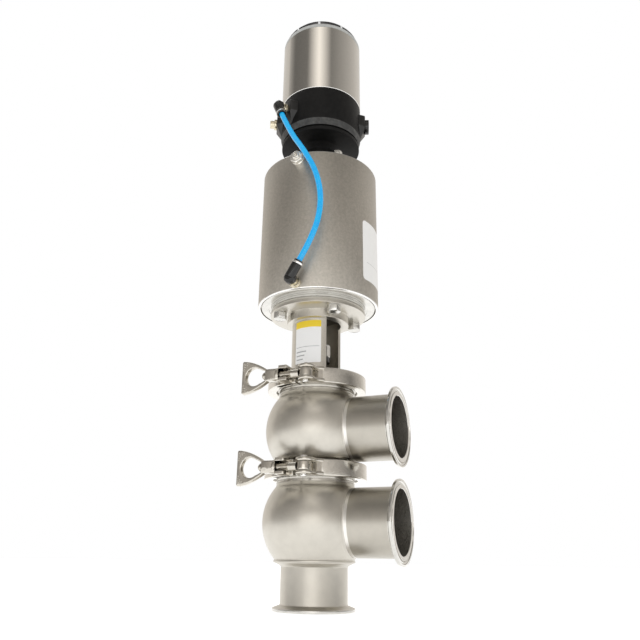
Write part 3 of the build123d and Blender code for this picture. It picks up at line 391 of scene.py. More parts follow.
class Graph:
    """Node tree of one material, with short calls for the nodes it uses."""

    def __init__(self, name: str) -> None:
        """Start a material with a Principled shader.

        Args:
            name: name of the material.
        """
        self.material = bpy.data.materials.new(name)
        self.material.use_nodes = True
        self.tree = self.material.node_tree
        self.tree.nodes.clear()
        self.shader = self.tree.nodes.new("ShaderNodeBsdfPrincipled")
        output = self.tree.nodes.new("ShaderNodeOutputMaterial")
        self.tree.links.new(self.shader.outputs["BSDF"], output.inputs["Surface"])

    def feed(self, socket: NodeSocket, value: object) -> None:
        """Link a socket, or set its value."""
        if isinstance(value, NodeSocket):
            self.tree.links.new(value, socket)
        else:
            socket.default_value = value

    def set_shader(self, **values: object) -> None:
        """Set or link sockets of the Principled shader, named with underscores."""
        for name, value in values.items():
            socket = self.shader.inputs[name.replace("_", " ")]
            self.feed(socket, (*value, 1.0) if isinstance(value, tuple) else value)

    def place(self, stretch: tuple[float, float, float] = (1, 1, 1)) -> NodeSocket:
        """Object coordinates in millimetres.

        Args:
            stretch: factor along each axis.

        Returns:
            The vector socket.
        """
        coordinates = self.tree.nodes.new("ShaderNodeTexCoord")
        mapping = self.tree.nodes.new("ShaderNodeMapping")
        mapping.inputs["Scale"].default_value = [factor / MM for factor in stretch]
        self.tree.links.new(coordinates.outputs["Object"], mapping.inputs["Vector"])
        return mapping.outputs["Vector"]

    def surface_map(self) -> NodeSocket:
        """The piece's own UV map."""
        return self.tree.nodes.new("ShaderNodeTexCoord").outputs["UV"]

    def split(self, vector: NodeSocket) -> list[NodeSocket]:
        """The three parts of a vector."""
        node = self.tree.nodes.new("ShaderNodeSeparateXYZ")
        self.tree.links.new(vector, node.inputs[0])
        return list(node.outputs)

    def joined(self, x: object, y: object, z: object) -> NodeSocket:
        """A vector from three parts."""
        node = self.tree.nodes.new("ShaderNodeCombineXYZ")
        for socket, value in zip(node.inputs, (x, y, z)):
            self.feed(socket, value)
        return node.outputs[0]

    def maths(self, operation: str, first: object, second: object = 0.0, third: object = 0.0) -> NodeSocket:
        """One step of arithmetic.

        Args:
            operation: name of the operation.
            first: its first value or socket.
            second: its second.
            third: its third.

        Returns:
            The result's socket.
        """
        node = self.tree.nodes.new("ShaderNodeMath")
        node.operation = operation
        for socket, value in zip(node.inputs, (first, second, third)):
            self.feed(socket, value)
        return node.outputs[0]

    def noise(self, vector: NodeSocket, grain: float, detail: float = 2.0, rough: float = 0.5) -> NodeSocket:
        """Noise whose grain is given in the vector's own unit.

        Args:
            vector: where it is read.
            grain: size of its features.
            detail: octaves added to it.
            rough: strength of the octaves.

        Returns:
            The value's socket.
        """
        node = self.tree.nodes.new("ShaderNodeTexNoise")
        node.inputs["Scale"].default_value = 1 / grain
        node.inputs["Detail"].default_value = detail
        node.inputs["Roughness"].default_value = rough
        self.tree.links.new(vector, node.inputs["Vector"])
        return node.outputs[0]

    def spread(self, value: NodeSocket, low: float, high: float, to_low: float, to_high: float) -> NodeSocket:
        """Map a range of values to another.

        Args:
            value: what is mapped.
            low: start of its range.
            high: end of its range.
            to_low: result at the start.
            to_high: result at the end.

        Returns:
            The mapped value's socket.
        """
        node = self.tree.nodes.new("ShaderNodeMapRange")
        for socket, amount in zip(node.inputs[:5], (value, low, high, to_low, to_high)):
            self.feed(socket, amount)
        return node.outputs[0]

    def ramp(self, value: NodeSocket, stops: Sequence[tuple[float, Colour]], hard: bool = False) -> NodeSocket:
        """Colour by value.

        Args:
            value: what picks the colour.
            stops: places and colours in order.
            hard: whether a colour holds until the next stop.

        Returns:
            The colour's socket.
        """
        node = self.tree.nodes.new("ShaderNodeValToRGB")
        if hard:
            node.color_ramp.interpolation = "CONSTANT"
        elements = node.color_ramp.elements
        while len(elements) < len(stops):
            elements.new(0.5)
        for element, (position, colour) in zip(elements, stops):
            element.position = position
            element.color = (*colour, 1.0)
        self.tree.links.new(value, node.inputs[0])
        return node.outputs[0]

    def bump(
        self, height: NodeSocket, depth: float, strength: float = 1.0, under: NodeSocket | None = None
    ) -> NodeSocket:
        """Bump of a depth in millimetres.

        Args:
            height: what raises the surface.
            depth: how far, in millimetres.
            strength: share of the effect.
            under: a bump that this one lies on.

        Returns:
            The normal's socket.
        """
        node = self.tree.nodes.new("ShaderNodeBump")
        node.inputs["Distance"].default_value = depth * MM
        node.inputs["Strength"].default_value = strength
        self.tree.links.new(height, node.inputs["Height"])
        if under is not None:
            self.tree.links.new(under, node.inputs["Normal"])
        return node.outputs["Normal"]

    def about_axis(self, lies: bool, height: float, stretch: Point) -> NodeSocket:
        """Vector of (distance from an axis, way along it), for turned marks.

        Args:
            lies: whether the axis lies along X instead of standing.
            height: height of a lying axis in millimetres.
            stretch: factors on the two.

        Returns:
            The vector's socket.
        """
        x, y, z = self.split(self.place())
        along = x if lies else z
        across = (y, self.maths("SUBTRACT", z, height)) if lies else (x, y)
        squared = self.maths("MULTIPLY_ADD", across[0], across[0], self.maths("MULTIPLY", across[1], across[1]))
        distance = self.maths("SQRT", squared)
        return self.joined(self.maths("MULTIPLY", distance, stretch[0]), 0.0, self.maths("MULTIPLY", along, stretch[1]))


@dataclass(frozen=True)
class Finish:
    """What every finish has: a name, and the record's slot that it belongs to."""

    name: str
    slot: str

    def dress(self, graph: Graph) -> None:
        """Build the finish in a material's graph."""
        raise NotImplementedError

    def material(self) -> Material:
        """The finish as a material, made once."""
        existing = bpy.data.materials.get(self.name)
        if existing is not None:
            return existing
        graph = Graph(self.name)
        self.dress(graph)
        return graph.material


@dataclass(frozen=True)
class BlastedSteel(Finish):
    """Bead-blasted stainless steel, mottled and dull."""

    light: Colour = (0.545, 0.51, 0.46)
    dark: Colour = (0.40, 0.38, 0.337)
    roughness: Point = (0.40, 0.52)

    def dress(self, graph: Graph) -> None:
        """Build the finish in a material's graph."""
        spot = graph.place()
        fine = graph.noise(spot, 0.55, 3, 0.65)
        cloud = graph.noise(spot, 2.4, 3, 0.6)
        blend = graph.maths("MULTIPLY_ADD", cloud, 0.55, graph.maths("MULTIPLY", fine, 0.45))
        colour = graph.ramp(
            blend,
            [(0.36, self.dark), (0.5, tuple((a + b) / 2 for a, b in zip(self.dark, self.light))), (0.64, self.light)]
        )
        normal = graph.bump(fine, 0.05, 0.6)
        graph.set_shader(
            Base_Color=colour, Metallic=1.0, Normal=normal,
            Roughness=graph.spread(blend, 0.35, 0.65, *self.roughness),
        )


@dataclass(frozen=True)
class SatinSteel(Finish):
    """Ground and satin-polished stainless steel."""

    tone: Colour = (0.575, 0.55, 0.497)
    roughness: Point = (0.30, 0.40)
    grain: float = 0.8
    metal: float = 1.0

    def dress(self, graph: Graph) -> None:
        """Build the finish in a material's graph."""
        spot = graph.place()
        fine = graph.noise(spot, self.grain, 3, 0.6)
        cloud = graph.noise(spot, 9.0, 2, 0.5)
        dull = tuple(part * 0.95 for part in self.tone)
        graph.set_shader(
            Base_Color=graph.ramp(cloud, [(0.35, dull), (0.65, self.tone)]),
            Metallic=self.metal,
            Roughness=graph.spread(fine, 0.3, 0.7, *self.roughness),
            Normal=graph.bump(fine, 0.035, 0.6),
        )


@dataclass(frozen=True)
class TurnedSteel(Finish):
    """Lathe-turned stainless steel with fine rings round its axis."""

    tone: Colour = (0.66, 0.65, 0.62)
    roughness: Point = (0.16, 0.28)
    lies: bool = False
    height: float = 0.0

    def dress(self, graph: Graph) -> None:
        """Build the finish in a material's graph."""
        rings = graph.noise(graph.about_axis(self.lies, self.height, (1.0, 1.0)), 0.22, 2, 0.6)
        cloud = graph.noise(graph.place(), 7.0, 2, 0.5)
        dull = tuple(part * 0.9 for part in self.tone)
        graph.set_shader(
            Base_Color=graph.ramp(cloud, [(0.35, dull), (0.65, self.tone)]),
            Metallic=1.0,
            Roughness=graph.spread(rings, 0.3, 0.7, *self.roughness),
            Normal=graph.bump(rings, 0.012, 0.6),
        )


@dataclass(frozen=True)
class PolishedSteel(Finish):
    """Electropolished cast steel, bright, with a faint orange-peel skin."""

    tone: Colour = (0.66, 0.635, 0.585)
    roughness: Point = (0.10, 0.20)
    ripple: float = 0.06
    metal: float = 1.0

    def dress(self, graph: Graph) -> None:
        """Build the finish in a material's graph."""
        spot = graph.place()
        waves = graph.noise(spot, 3.2, 2, 0.5)
        fine = graph.noise(spot, 0.5, 2, 0.5)
        graph.set_shader(
            Base_Color=graph.ramp(waves, [(0.3, tuple(part * 0.9 for part in self.tone)), (0.7, self.tone)]),
            Metallic=self.metal,
            Roughness=graph.spread(fine, 0.3, 0.7, *self.roughness),
            Normal=graph.bump(fine, 0.01, 0.5, graph.bump(waves, self.ripple, 0.6)),
        )


@dataclass(frozen=True)
class BrushedSteel(Finish):
    """Sheet steel brushed round its axis."""

    tone: Colour = (0.62, 0.60, 0.56)

    def dress(self, graph: Graph) -> None:
        """Build the finish in a material's graph."""
        x, y, z = graph.split(graph.place())
        bearing = graph.maths("ARCTAN2", y, x)
        strokes = graph.noise(
            graph.joined(graph.maths("MULTIPLY", bearing, 6.0), 0.0, graph.maths("MULTIPLY", z, 5.0)), 1.0, 3, 0.7
        )
        graph.set_shader(
            Base_Color=graph.ramp(strokes, [(0.3, tuple(part * 0.88 for part in self.tone)), (0.7, self.tone)]),
            Metallic=1.0,
            Roughness=graph.spread(strokes, 0.3, 0.7, 0.09, 0.20),
            Normal=graph.bump(strokes, 0.01, 0.5),
        )


@dataclass(frozen=True)
class MouldedPlastic(Finish):
    """Moulded plastic with a fine spark-eroded texture."""

    tone: Colour = (0.006, 0.006, 0.006)
    worn: Colour = (0.010, 0.0098, 0.0095)
    roughness: Point = (0.42, 0.58)
    gloss: float = 0.16
    texture: float = 0.7
    depth: float = 0.05

    def dress(self, graph: Graph) -> None:
        """Build the finish in a material's graph."""
        spot = graph.place()
        fine = graph.noise(spot, self.texture, 2, 0.5)
        cloud = graph.noise(spot, 6.0, 3, 0.6)
        graph.set_shader(
            Base_Color=graph.ramp(cloud, [(0.4, self.tone), (0.75, self.worn)]),
            Roughness=graph.spread(fine, 0.3, 0.7, *self.roughness),
            Normal=graph.bump(fine, self.depth, 0.5),
        )
        graph.set_shader(Specular_IOR_Level=self.gloss)


@dataclass(frozen=True)
class GlossPlastic(Finish):
    """Smooth extruded or moulded plastic with a clear skin."""

    tone: Colour = (0.0, 0.52, 1.0)
    deep: Colour = (0.0, 0.44, 1.0)
    roughness: Point = (0.20, 0.30)

    def dress(self, graph: Graph) -> None:
        """Build the finish in a material's graph."""
        spot = graph.place()
        cloud = graph.noise(spot, 5.0, 2, 0.5)
        fine = graph.noise(spot, 1.2, 1, 0.5)
        graph.set_shader(
            Base_Color=graph.ramp(cloud, [(0.35, self.deep), (0.65, self.tone)]),
            Roughness=graph.spread(fine, 0.3, 0.7, *self.roughness),
            Normal=graph.bump(fine, 0.02, 0.3),
        )
        graph.set_shader(Coat_Weight=0.3, Coat_Roughness=0.06)


@dataclass(frozen=True)
class Board(Finish):
    """Green circuit board with faint copper runs under its mask."""

    def dress(self, graph: Graph) -> None:
        """Build the finish in a material's graph."""
        x, _, z = graph.split(graph.place())
        runs = graph.noise(graph.joined(graph.maths("SNAP", x, 2.0), 0.0, graph.maths("SNAP", z, 5.0)), 3.0, 1, 0.5)
        graph.set_shader(
            Base_Color=graph.ramp(runs, [(0.0, (0.01, 0.12, 0.05)), (0.52, (0.03, 0.22, 0.09))], True),
            Roughness=graph.spread(runs, 0.3, 0.7, 0.35, 0.45),
        )


@dataclass(frozen=True)
class Lens(Finish):
    """Smoked, see-through plastic of the light ring."""

    def dress(self, graph: Graph) -> None:
        """Build the finish in a material's graph."""
        fine = graph.noise(graph.place(), 2.0, 2, 0.5)
        graph.set_shader(
            Base_Color=graph.ramp(fine, [(0.3, (0.012, 0.012, 0.014)), (0.7, (0.03, 0.03, 0.034))]),
            Roughness=graph.spread(fine, 0.3, 0.7, 0.06, 0.12),
        )
        graph.set_shader(Coat_Weight=0.6, Coat_Roughness=0.04, IOR=1.55)


@dataclass(frozen=True)
class YokeLabel(Finish):
    """Blank rating label: a coloured head, a rule and rows of short bars."""

    header: float = 0.16
    header_tone: Colour = (0.95, 0.70, 0.03)
    ink: Colour = (0.42, 0.43, 0.44)
    paper: Colour = (0.96, 0.965, 0.97)

    def dress(self, graph: Graph) -> None:
        """Build the finish in a material's graph."""
        across, up, _ = graph.split(graph.surface_map())
        down = graph.maths("SUBTRACT", 1.0, up)
        base = graph.ramp(down, [(0.0, self.header_tone), (self.header, self.paper)], True)
        rule = graph.maths("COMPARE", down, 0.62, 0.006)
        rows = [graph.maths("COMPARE", down, height, 0.013) for height in (0.73, 0.82, 0.91)]
        lengths = (0.42, 0.36, 0.30)
        inked = graph.maths("MULTIPLY", rule, graph.maths("COMPARE", across, 0.5, 0.44))
        for row, length in zip(rows, lengths):
            bar = graph.maths("COMPARE", across, 0.06 + length / 2, length / 2)
            inked = graph.maths("MAXIMUM", inked, graph.maths("MULTIPLY", row, bar))
        mix = graph.tree.nodes.new("ShaderNodeMix")
        mix.data_type = "RGBA"
        graph.tree.links.new(inked, mix.inputs["Factor"])
        graph.tree.links.new(base, mix.inputs["A"])
        mix.inputs["B"].default_value = (*self.ink, 1.0)
        fine = graph.noise(graph.place(), 0.8, 2, 0.5)
        graph.set_shader(
            Base_Color=mix.outputs["Result"],
            Roughness=graph.spread(fine, 0.3, 0.7, 0.32, 0.42),
            Normal=graph.bump(fine, 0.01, 0.4),
        )


@dataclass(frozen=True)
class PlainLabel(Finish):
    """White film label with one faint rule and nothing else."""

    paper: Colour = (0.88, 0.88, 0.87)
    ink: Colour = (0.60, 0.60, 0.60)

    def dress(self, graph: Graph) -> None:
        """Build the finish in a material's graph."""
        across, up, _ = graph.split(graph.surface_map())
        inked = graph.maths("COMPARE", up, 0.30, 0.004)
        inked = graph.maths("MULTIPLY", inked, graph.maths("COMPARE", across, 0.5, 0.42))
        fine = graph.noise(graph.place(), 0.8, 2, 0.5)
        graph.set_shader(
            Base_Color=graph.ramp(inked, [(0.0, self.paper), (0.5, self.ink)], True),
            Roughness=graph.spread(fine, 0.3, 0.7, 0.30, 0.40),
            Normal=graph.bump(fine, 0.01, 0.4),
        )


BARREL_STEEL = BlastedSteel("blasted_barrel", "blasted_steel")
HOUSING_STEEL = SatinSteel("satin_housing", "cast_steel")
# Housing satin steel in a darker tone on the side ports: painted shade.
SHADED_PORT_STEEL = SatinSteel("satin_port_painted_shade", "cast_steel", tone=(0.49, 0.465, 0.415))
BORE_STEEL = PolishedSteel("satin_bore", "polished_steel", tone=(0.62, 0.60, 0.56), roughness=(0.24, 0.34), ripple=0.01)
BALL_LINING = PolishedSteel(
    "ground_lining", "polished_steel", tone=(0.60, 0.58, 0.54), roughness=(0.3, 0.4), ripple=0.02, metal=0.85
)
WELD_STEEL = SatinSteel("dressed_weld", "polished_steel", tone=(0.86, 0.84, 0.80), roughness=(0.30, 0.38))
YOKE_LINING = SatinSteel("satin_yoke_bore", "turned_steel", roughness=(0.34, 0.42))
# Turned steel darker than the other turned parts: painted shade on the necks under the clamps.
SHADED_NECK_STEEL = TurnedSteel("turned_neck_painted_shade", "polished_steel", tone=(0.50, 0.48, 0.44), roughness=(0.14, 0.26))
YOKE_STEEL = SatinSteel("satin_yoke", "turned_steel", roughness=(0.26, 0.34))
RING_STEEL = TurnedSteel("turned_rings", "turned_steel")
PALE_STEEL = TurnedSteel("pale_screw", "turned_steel", tone=(0.88, 0.86, 0.81), roughness=(0.18, 0.30))
LOWER_FACE_STEEL = TurnedSteel("turned_lower_port", "turned_steel", roughness=(0.08, 0.16), lies=True, height=78.0)
UPPER_FACE_STEEL = TurnedSteel("turned_upper_port", "turned_steel", roughness=(0.08, 0.16), lies=True, height=166.0)
CLAMP_STEEL = PolishedSteel("polished_clamp", "polished_steel")
CAST_STEEL = PolishedSteel(
    "polished_casting", "polished_steel", tone=(0.58, 0.55, 0.495), roughness=(0.06, 0.14), ripple=0.20
)
BRIGHT_STEEL = PolishedSteel(
    "bright_edge", "polished_steel", tone=(0.80, 0.79, 0.77), roughness=(0.05, 0.10), ripple=0.01
)
COVER_STEEL = BrushedSteel("brushed_cover_sheet", "brushed_cover")
HEAD_PLASTIC = MouldedPlastic("black_head", "black_plastic")
FITTING_PLASTIC = MouldedPlastic(
    "black_fitting", "black_plastic", roughness=(0.18, 0.28), gloss=0.5, texture=1.2, depth=0.02
)
BOSS_PLASTIC = MouldedPlastic("black_bosses", "black_plastic", roughness=(0.28, 0.38), gloss=0.5, depth=0.03)
BAND_PLASTIC = MouldedPlastic(
    "pale_frosted_band", "white_polymer", tone=(
        0.46, 0.47, 0.46
    ), worn=(0.52, 0.53, 0.52), roughness=(0.30, 0.40), texture=0.9, depth=0.01
)
# Pale blocks in the light cap's notches: painted glints on the notched rim.
GLINT_BLOCK_PLASTIC = MouldedPlastic(
    "pale_notch_painted_glints", "white_polymer", tone=(0.80, 0.81, 0.82), worn=(0.86, 0.87, 0.88), roughness=(0.1, 0.2),
    depth=0.01
)
# Black plastic in a lighter grey on the down-facing chamfer: partly its rough texture, partly painted light from the
# floor below.
LIT_CHAMFER_PLASTIC = MouldedPlastic(
    "rough_chamfer_painted_light", "black_plastic", tone=(0.06, 0.06, 0.06), worn=(
        0.11, 0.11, 0.105
    ), roughness=(0.45, 0.65), texture=0.5, depth=0.1
)
GREY_PLASTIC = MouldedPlastic("grey_inner_plastic", "grey_plastic", tone=(0.30, 0.30, 0.29), worn=(0.36, 0.36, 0.35))
TUBE_BLUE = GlossPlastic("blue_air_tube", "blue_tube")
RUBBER = MouldedPlastic(
    "seal_black", "seal_rubber", tone=(0.02, 0.02, 0.02), worn=(0.03, 0.03, 0.03), roughness=(0.5, 0.65)
)
SPRING = PolishedSteel("spring_wire", "spring_steel", tone=(0.42, 0.42, 0.42), roughness=(0.25, 0.38))
TARGET = SatinSteel("target_ring", "target_steel")
ALLOY = SatinSteel("piston_metal", "piston_alloy", tone=(0.70, 0.70, 0.71))
BRASS = PolishedSteel(
    "nickel_brass_fitting", "nickel_brass", tone=(0.66, 0.60, 0.46), roughness=(0.16, 0.26), ripple=0.02
)
POLYMER = MouldedPlastic("white_bush", "white_polymer", tone=(0.72, 0.71, 0.68), worn=(0.78, 0.77, 0.74))
BOARD = Board("circuit_board_green", "board_green")
LENS = Lens("smoked_ring", "smoked_lens")
YOKE_LABEL = YokeLabel("yoke_label_film", "")
PLAIN_LABEL = PlainLabel("barrel_label_film", "")


# Publishing -----------------------------------------------------------------

def publish(
    solid: Solid, name: str, finishes: Sequence[Finish], body: str = "root",
    replaces: Sequence[str] = (), sharp: float = 32.0,
) -> Object:
    """Turn a solid into a finished piece of the scene.

    Args:
        solid: the mesh in millimetres, which is used up.
        name: name of the piece.
        finishes: one finish per material slot.
        body: the body that it rides on; left empty, it rides on none.
        replaces: CAD nodes that it stands for.
        sharp: angle in degrees past which an edge stays sharp.

    Returns:
        The new object.
    """
    solid.moved(Matrix.Scale(MM, 4))
    data = bpy.data.meshes.new(name)
    solid.mesh.to_mesh(data)
    solid.mesh.free()
    for finish in finishes:
        data.materials.append(finish.material())
    data.shade_smooth()
    data.set_sharp_from_angle(angle=math.radians(sharp))
    piece = bpy.data.objects.new(name, data)
    bpy.context.scene.collection.objects.link(piece)
    if body:
        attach(piece, body)
    if replaces:
        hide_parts(*replaces)
    LOG.info("%s: %d faces, rides on %s", name, len(data.polygons), body or "two bodies")
    return piece


# Product body ---------------------------------------------------------------

@dataclass
class ProductBody:
    """The two ball housings, their side ports and the drain port."""

    ball: float = 50.8
    ball_wall: float = 3.0
    lower_height: float = 78.0
    upper_height: float = 166.0
    neck: float = 38.5
    neck_bore: float = 36.0
    rim: float = 45.5
    rim_height: float = 2.85
    tube: float = 31.75
    tube_bore: float = 29.75
    ferrule: float = 38.75
    reach: float = 88.0
    weld: float = 1.5
    gasket_track: float = 35.25
    gasket_groove: float = 1.6
    collar: float = 38.8
    drain_top: float = 41.8
    beads: Point = (7.2, 9.2)

    def neck_outline(self, face: float, way: int) -> list[Point]:
        """Clamp flange of a neck, from its bore round to the neck.

        Args:
            face: height of the joint face.
            way: +1 for a neck that points up.

        Returns:
            Points of (radius, height).
        """
        back = self.rim_height + (self.rim - self.neck) * FERRULE_SLOPE
        points = [
            (self.neck_bore, face), (self.rim, face), (self.rim, face - way * self.rim_height),
            (self.neck, face - way * back)
        ]
        for drop in self.beads:
            points += [(self.neck - 0.4, face - way * (drop - 0.1)), (self.neck + 0.5, face - way * (drop + 0.15)),
                       (self.neck + 0.5, face - way * (drop + 0.65)), (self.neck - 0.4, face - way * (drop + 0.9))]
        return points

    def shoulder(self, centre: float, way: int) -> list[Point]:
        """Soft corner between a ball and its neck.

        Args:
            centre: height of the ball's centre.
            way: +1 for a neck that points up.

        Returns:
            Points of (radius, height), from the ball to the neck.
        """
        rise = chord(self.ball, self.neck)
        return [(self.neck + 0.22, centre + way * (rise + 0.02)), (self.neck, centre + way * (rise + 1.1))]

    def inside(self, centre: float) -> Callable[[Vector], bool]:
        """Test for the polished inner faces of a ball.

        Args:
            centre: height of the ball's centre.

        Returns:
            The test of a face's middle.
        """
        middle = Vector((0, 0, centre))
        return lambda spot: (
            spot - middle
        ).length < self.ball - self.ball_wall + 0.4 or spot.xy.length < self.neck_bore + 0.1

    def side_hole(self, height: float) -> Solid:
        """Cutter for a side port's opening."""
        return Solid.turned([(0, 0), (self.tube_bore, 0), (self.tube_bore, 60), (0, 60)]).moved(lying(height))

    def lower_housing(self) -> None:
        """Lower ball with its neck and drain collar."""
        centre, inner = self.lower_height, self.ball - self.ball_wall
        outline = [(27.0, self.drain_top), (self.collar - 0.5, self.drain_top), (self.collar, self.drain_top + 0.5)]
        groove = centre - chord(self.ball, self.collar - 0.5)
        outline += [(self.collar, groove - 1.1), (self.collar - 0.3, groove - 0.8), (self.collar - 0.5, groove - 0.4)]
        outline += ball_arc(centre, self.ball, self.collar - 0.45, self.neck + 0.75, True, True)
        outline += self.shoulder(centre, 1)
        outline += list(reversed(self.neck_outline(123.5, 1)))
        outline += list(reversed(ball_arc(centre, inner, 35.5, self.neck_bore, True, True)))
        outline += [(27.0, self.drain_top + 4.2)]
        solid = Solid.turned(outline, 128).cut(self.side_hole(centre))
        # Slot 2 paints the neck and its flange in the darker neck steel: painted shade under the clamp.
        solid.painted(2, lambda spot: spot.xy.length > self.neck_bore + 0.2 and spot.z > 123.5 - self.beads[1] - 1.3)
        solid.painted(1, self.inside(centre))
        publish(solid, "lower_housing_shell", [HOUSING_STEEL, BALL_LINING, SHADED_NECK_STEEL], replaces=["lower_housing"])

    def upper_housing(self) -> None:
        """Upper ball with a neck at each end."""
        centre, inner = self.upper_height, self.ball - self.ball_wall
        outline = self.neck_outline(125.5, -1)
        outline += list(reversed(self.shoulder(centre, -1)))
        outline += ball_arc(centre, self.ball, self.neck + 0.75, self.neck + 0.75, True, True)
        outline += self.shoulder(centre, 1)
        outline += list(reversed(self.neck_outline(211.5, 1)))
        outline += list(reversed(ball_arc(centre, inner, self.neck_bore, self.neck_bore, True, True)))
        solid = Solid.turned(outline, 128).cut(self.side_hole(centre))
        reach = 43.0 - self.beads[1] - 1.3
        # Slot 2 paints both necks and their flanges in the darker neck steel: painted shade under the clamps.
        solid.painted(2, lambda spot: spot.xy.length > self.neck_bore + 0.2 and abs(spot.z - 168.5) > reach)
        solid.painted(1, self.inside(centre))
        publish(solid, "upper_housing_shell", [HOUSING_STEEL, BALL_LINING, SHADED_NECK_STEEL], replaces=["upper_housing"])

    def ferrule_outline(self, face: float) -> list[Point]:
        """Ferrule with its gasket groove, from its back to its bore.

        Args:
            face: reach of the sealing face.

        Returns:
            Points of (radius, reach).
        """
        back = self.rim_height + (self.ferrule - self.tube) * FERRULE_SLOPE
        lip = 0.45
        outline = eased([(self.tube, face - back - 6), (self.tube, face - back), (self.ferrule, face - self.rim_height),
                         (self.ferrule, face - lip), (self.ferrule - lip, face)], 0.8, 3)[4:]
        outline += [(self.gasket_track + self.gasket_groove + 0.3, face)]
        outline += arc((self.gasket_track, face), self.gasket_groove, 0, -180, 14)
        outline += [
            (self.gasket_track - self.gasket_groove - 0.3, face), (self.tube_bore + 0.4, face),
            (self.tube_bore, face - 0.4)
        ]
        return outline

    def side_port(self, name: str, height: float, face_steel: Finish) -> None:
        """Side port: a tube welded to its ball, with a ferrule at its end.

        Args:
            name: the CAD node that it stands for.
            height: height of its axis.
            face_steel: the finish of its turned faces.
        """
        toe = chord(self.ball, self.tube + self.weld)
        root = chord(self.ball, self.tube)
        mouth = chord(self.ball, self.tube_bore)
        outline = [(self.tube_bore, mouth), (self.tube, root - 0.6), (self.tube + self.weld, toe - 0.5)]
        outline += arc((self.tube + self.weld + 0.9, toe + 2.6), 2.9, -102, -172, 6)
        outline += [(self.tube, root + 4.2)]
        outline += self.ferrule_outline(self.reach)
        solid = Solid.turned(outline, 128)
        solid.painted(1, lambda spot: spot.z < root + 3.0 and math.hypot(spot.x, spot.y) > self.tube - 0.3)
        solid.painted(2, lambda spot: math.hypot(spot.x, spot.y) < self.tube_bore + 0.1)
        solid.painted(3, lambda spot: spot.z > self.reach - 6.0 and math.hypot(spot.x, spot.y) > self.tube_bore + 0.1)
        # The tube's outside takes the darker port steel, which is painted shade.
        publish(
            solid.moved(lying(height)), f"{name}_tube", [SHADED_PORT_STEEL, WELD_STEEL, BORE_STEEL, face_steel],
            replaces=[name]
        )

    def drain_port(self) -> None:
        """Drain port under the lower ball, which leads the leakage away."""
        ferrule = [(radius, -reach) for radius, reach in self.ferrule_outline(0.0)]
        outline = [(self.tube_bore, 38.0), (34.0, self.drain_top), (self.collar - 1.3, self.drain_top)]
        outline += [(self.collar - 1.6, self.drain_top - 0.5), (self.tube + 1.2, 39.4), (self.tube, 38.0)]
        outline += ferrule
        solid = Solid.turned(outline, 128)
        solid.painted(1, lambda spot: math.hypot(spot.x, spot.y) < self.tube_bore + 0.1)
        solid.painted(2, lambda spot: spot.z < 3.0)
        publish(solid, "drain_port_tube", [HOUSING_STEEL, BORE_STEEL, RING_STEEL], replaces=["drain_port"])

    def build(self) -> None:
        """Build every piece of the product body."""
        self.lower_housing()
        self.upper_housing()
        self.side_port("lower_port", self.lower_height, LOWER_FACE_STEEL)
        self.side_port("upper_port", self.upper_height, UPPER_FACE_STEEL)
        self.drain_port()


# Clamps ---------------------------------------------------------------------

class Side(Enum):
    """The two clamped joints."""

    LOWER = "lower"
    UPPER = "upper"


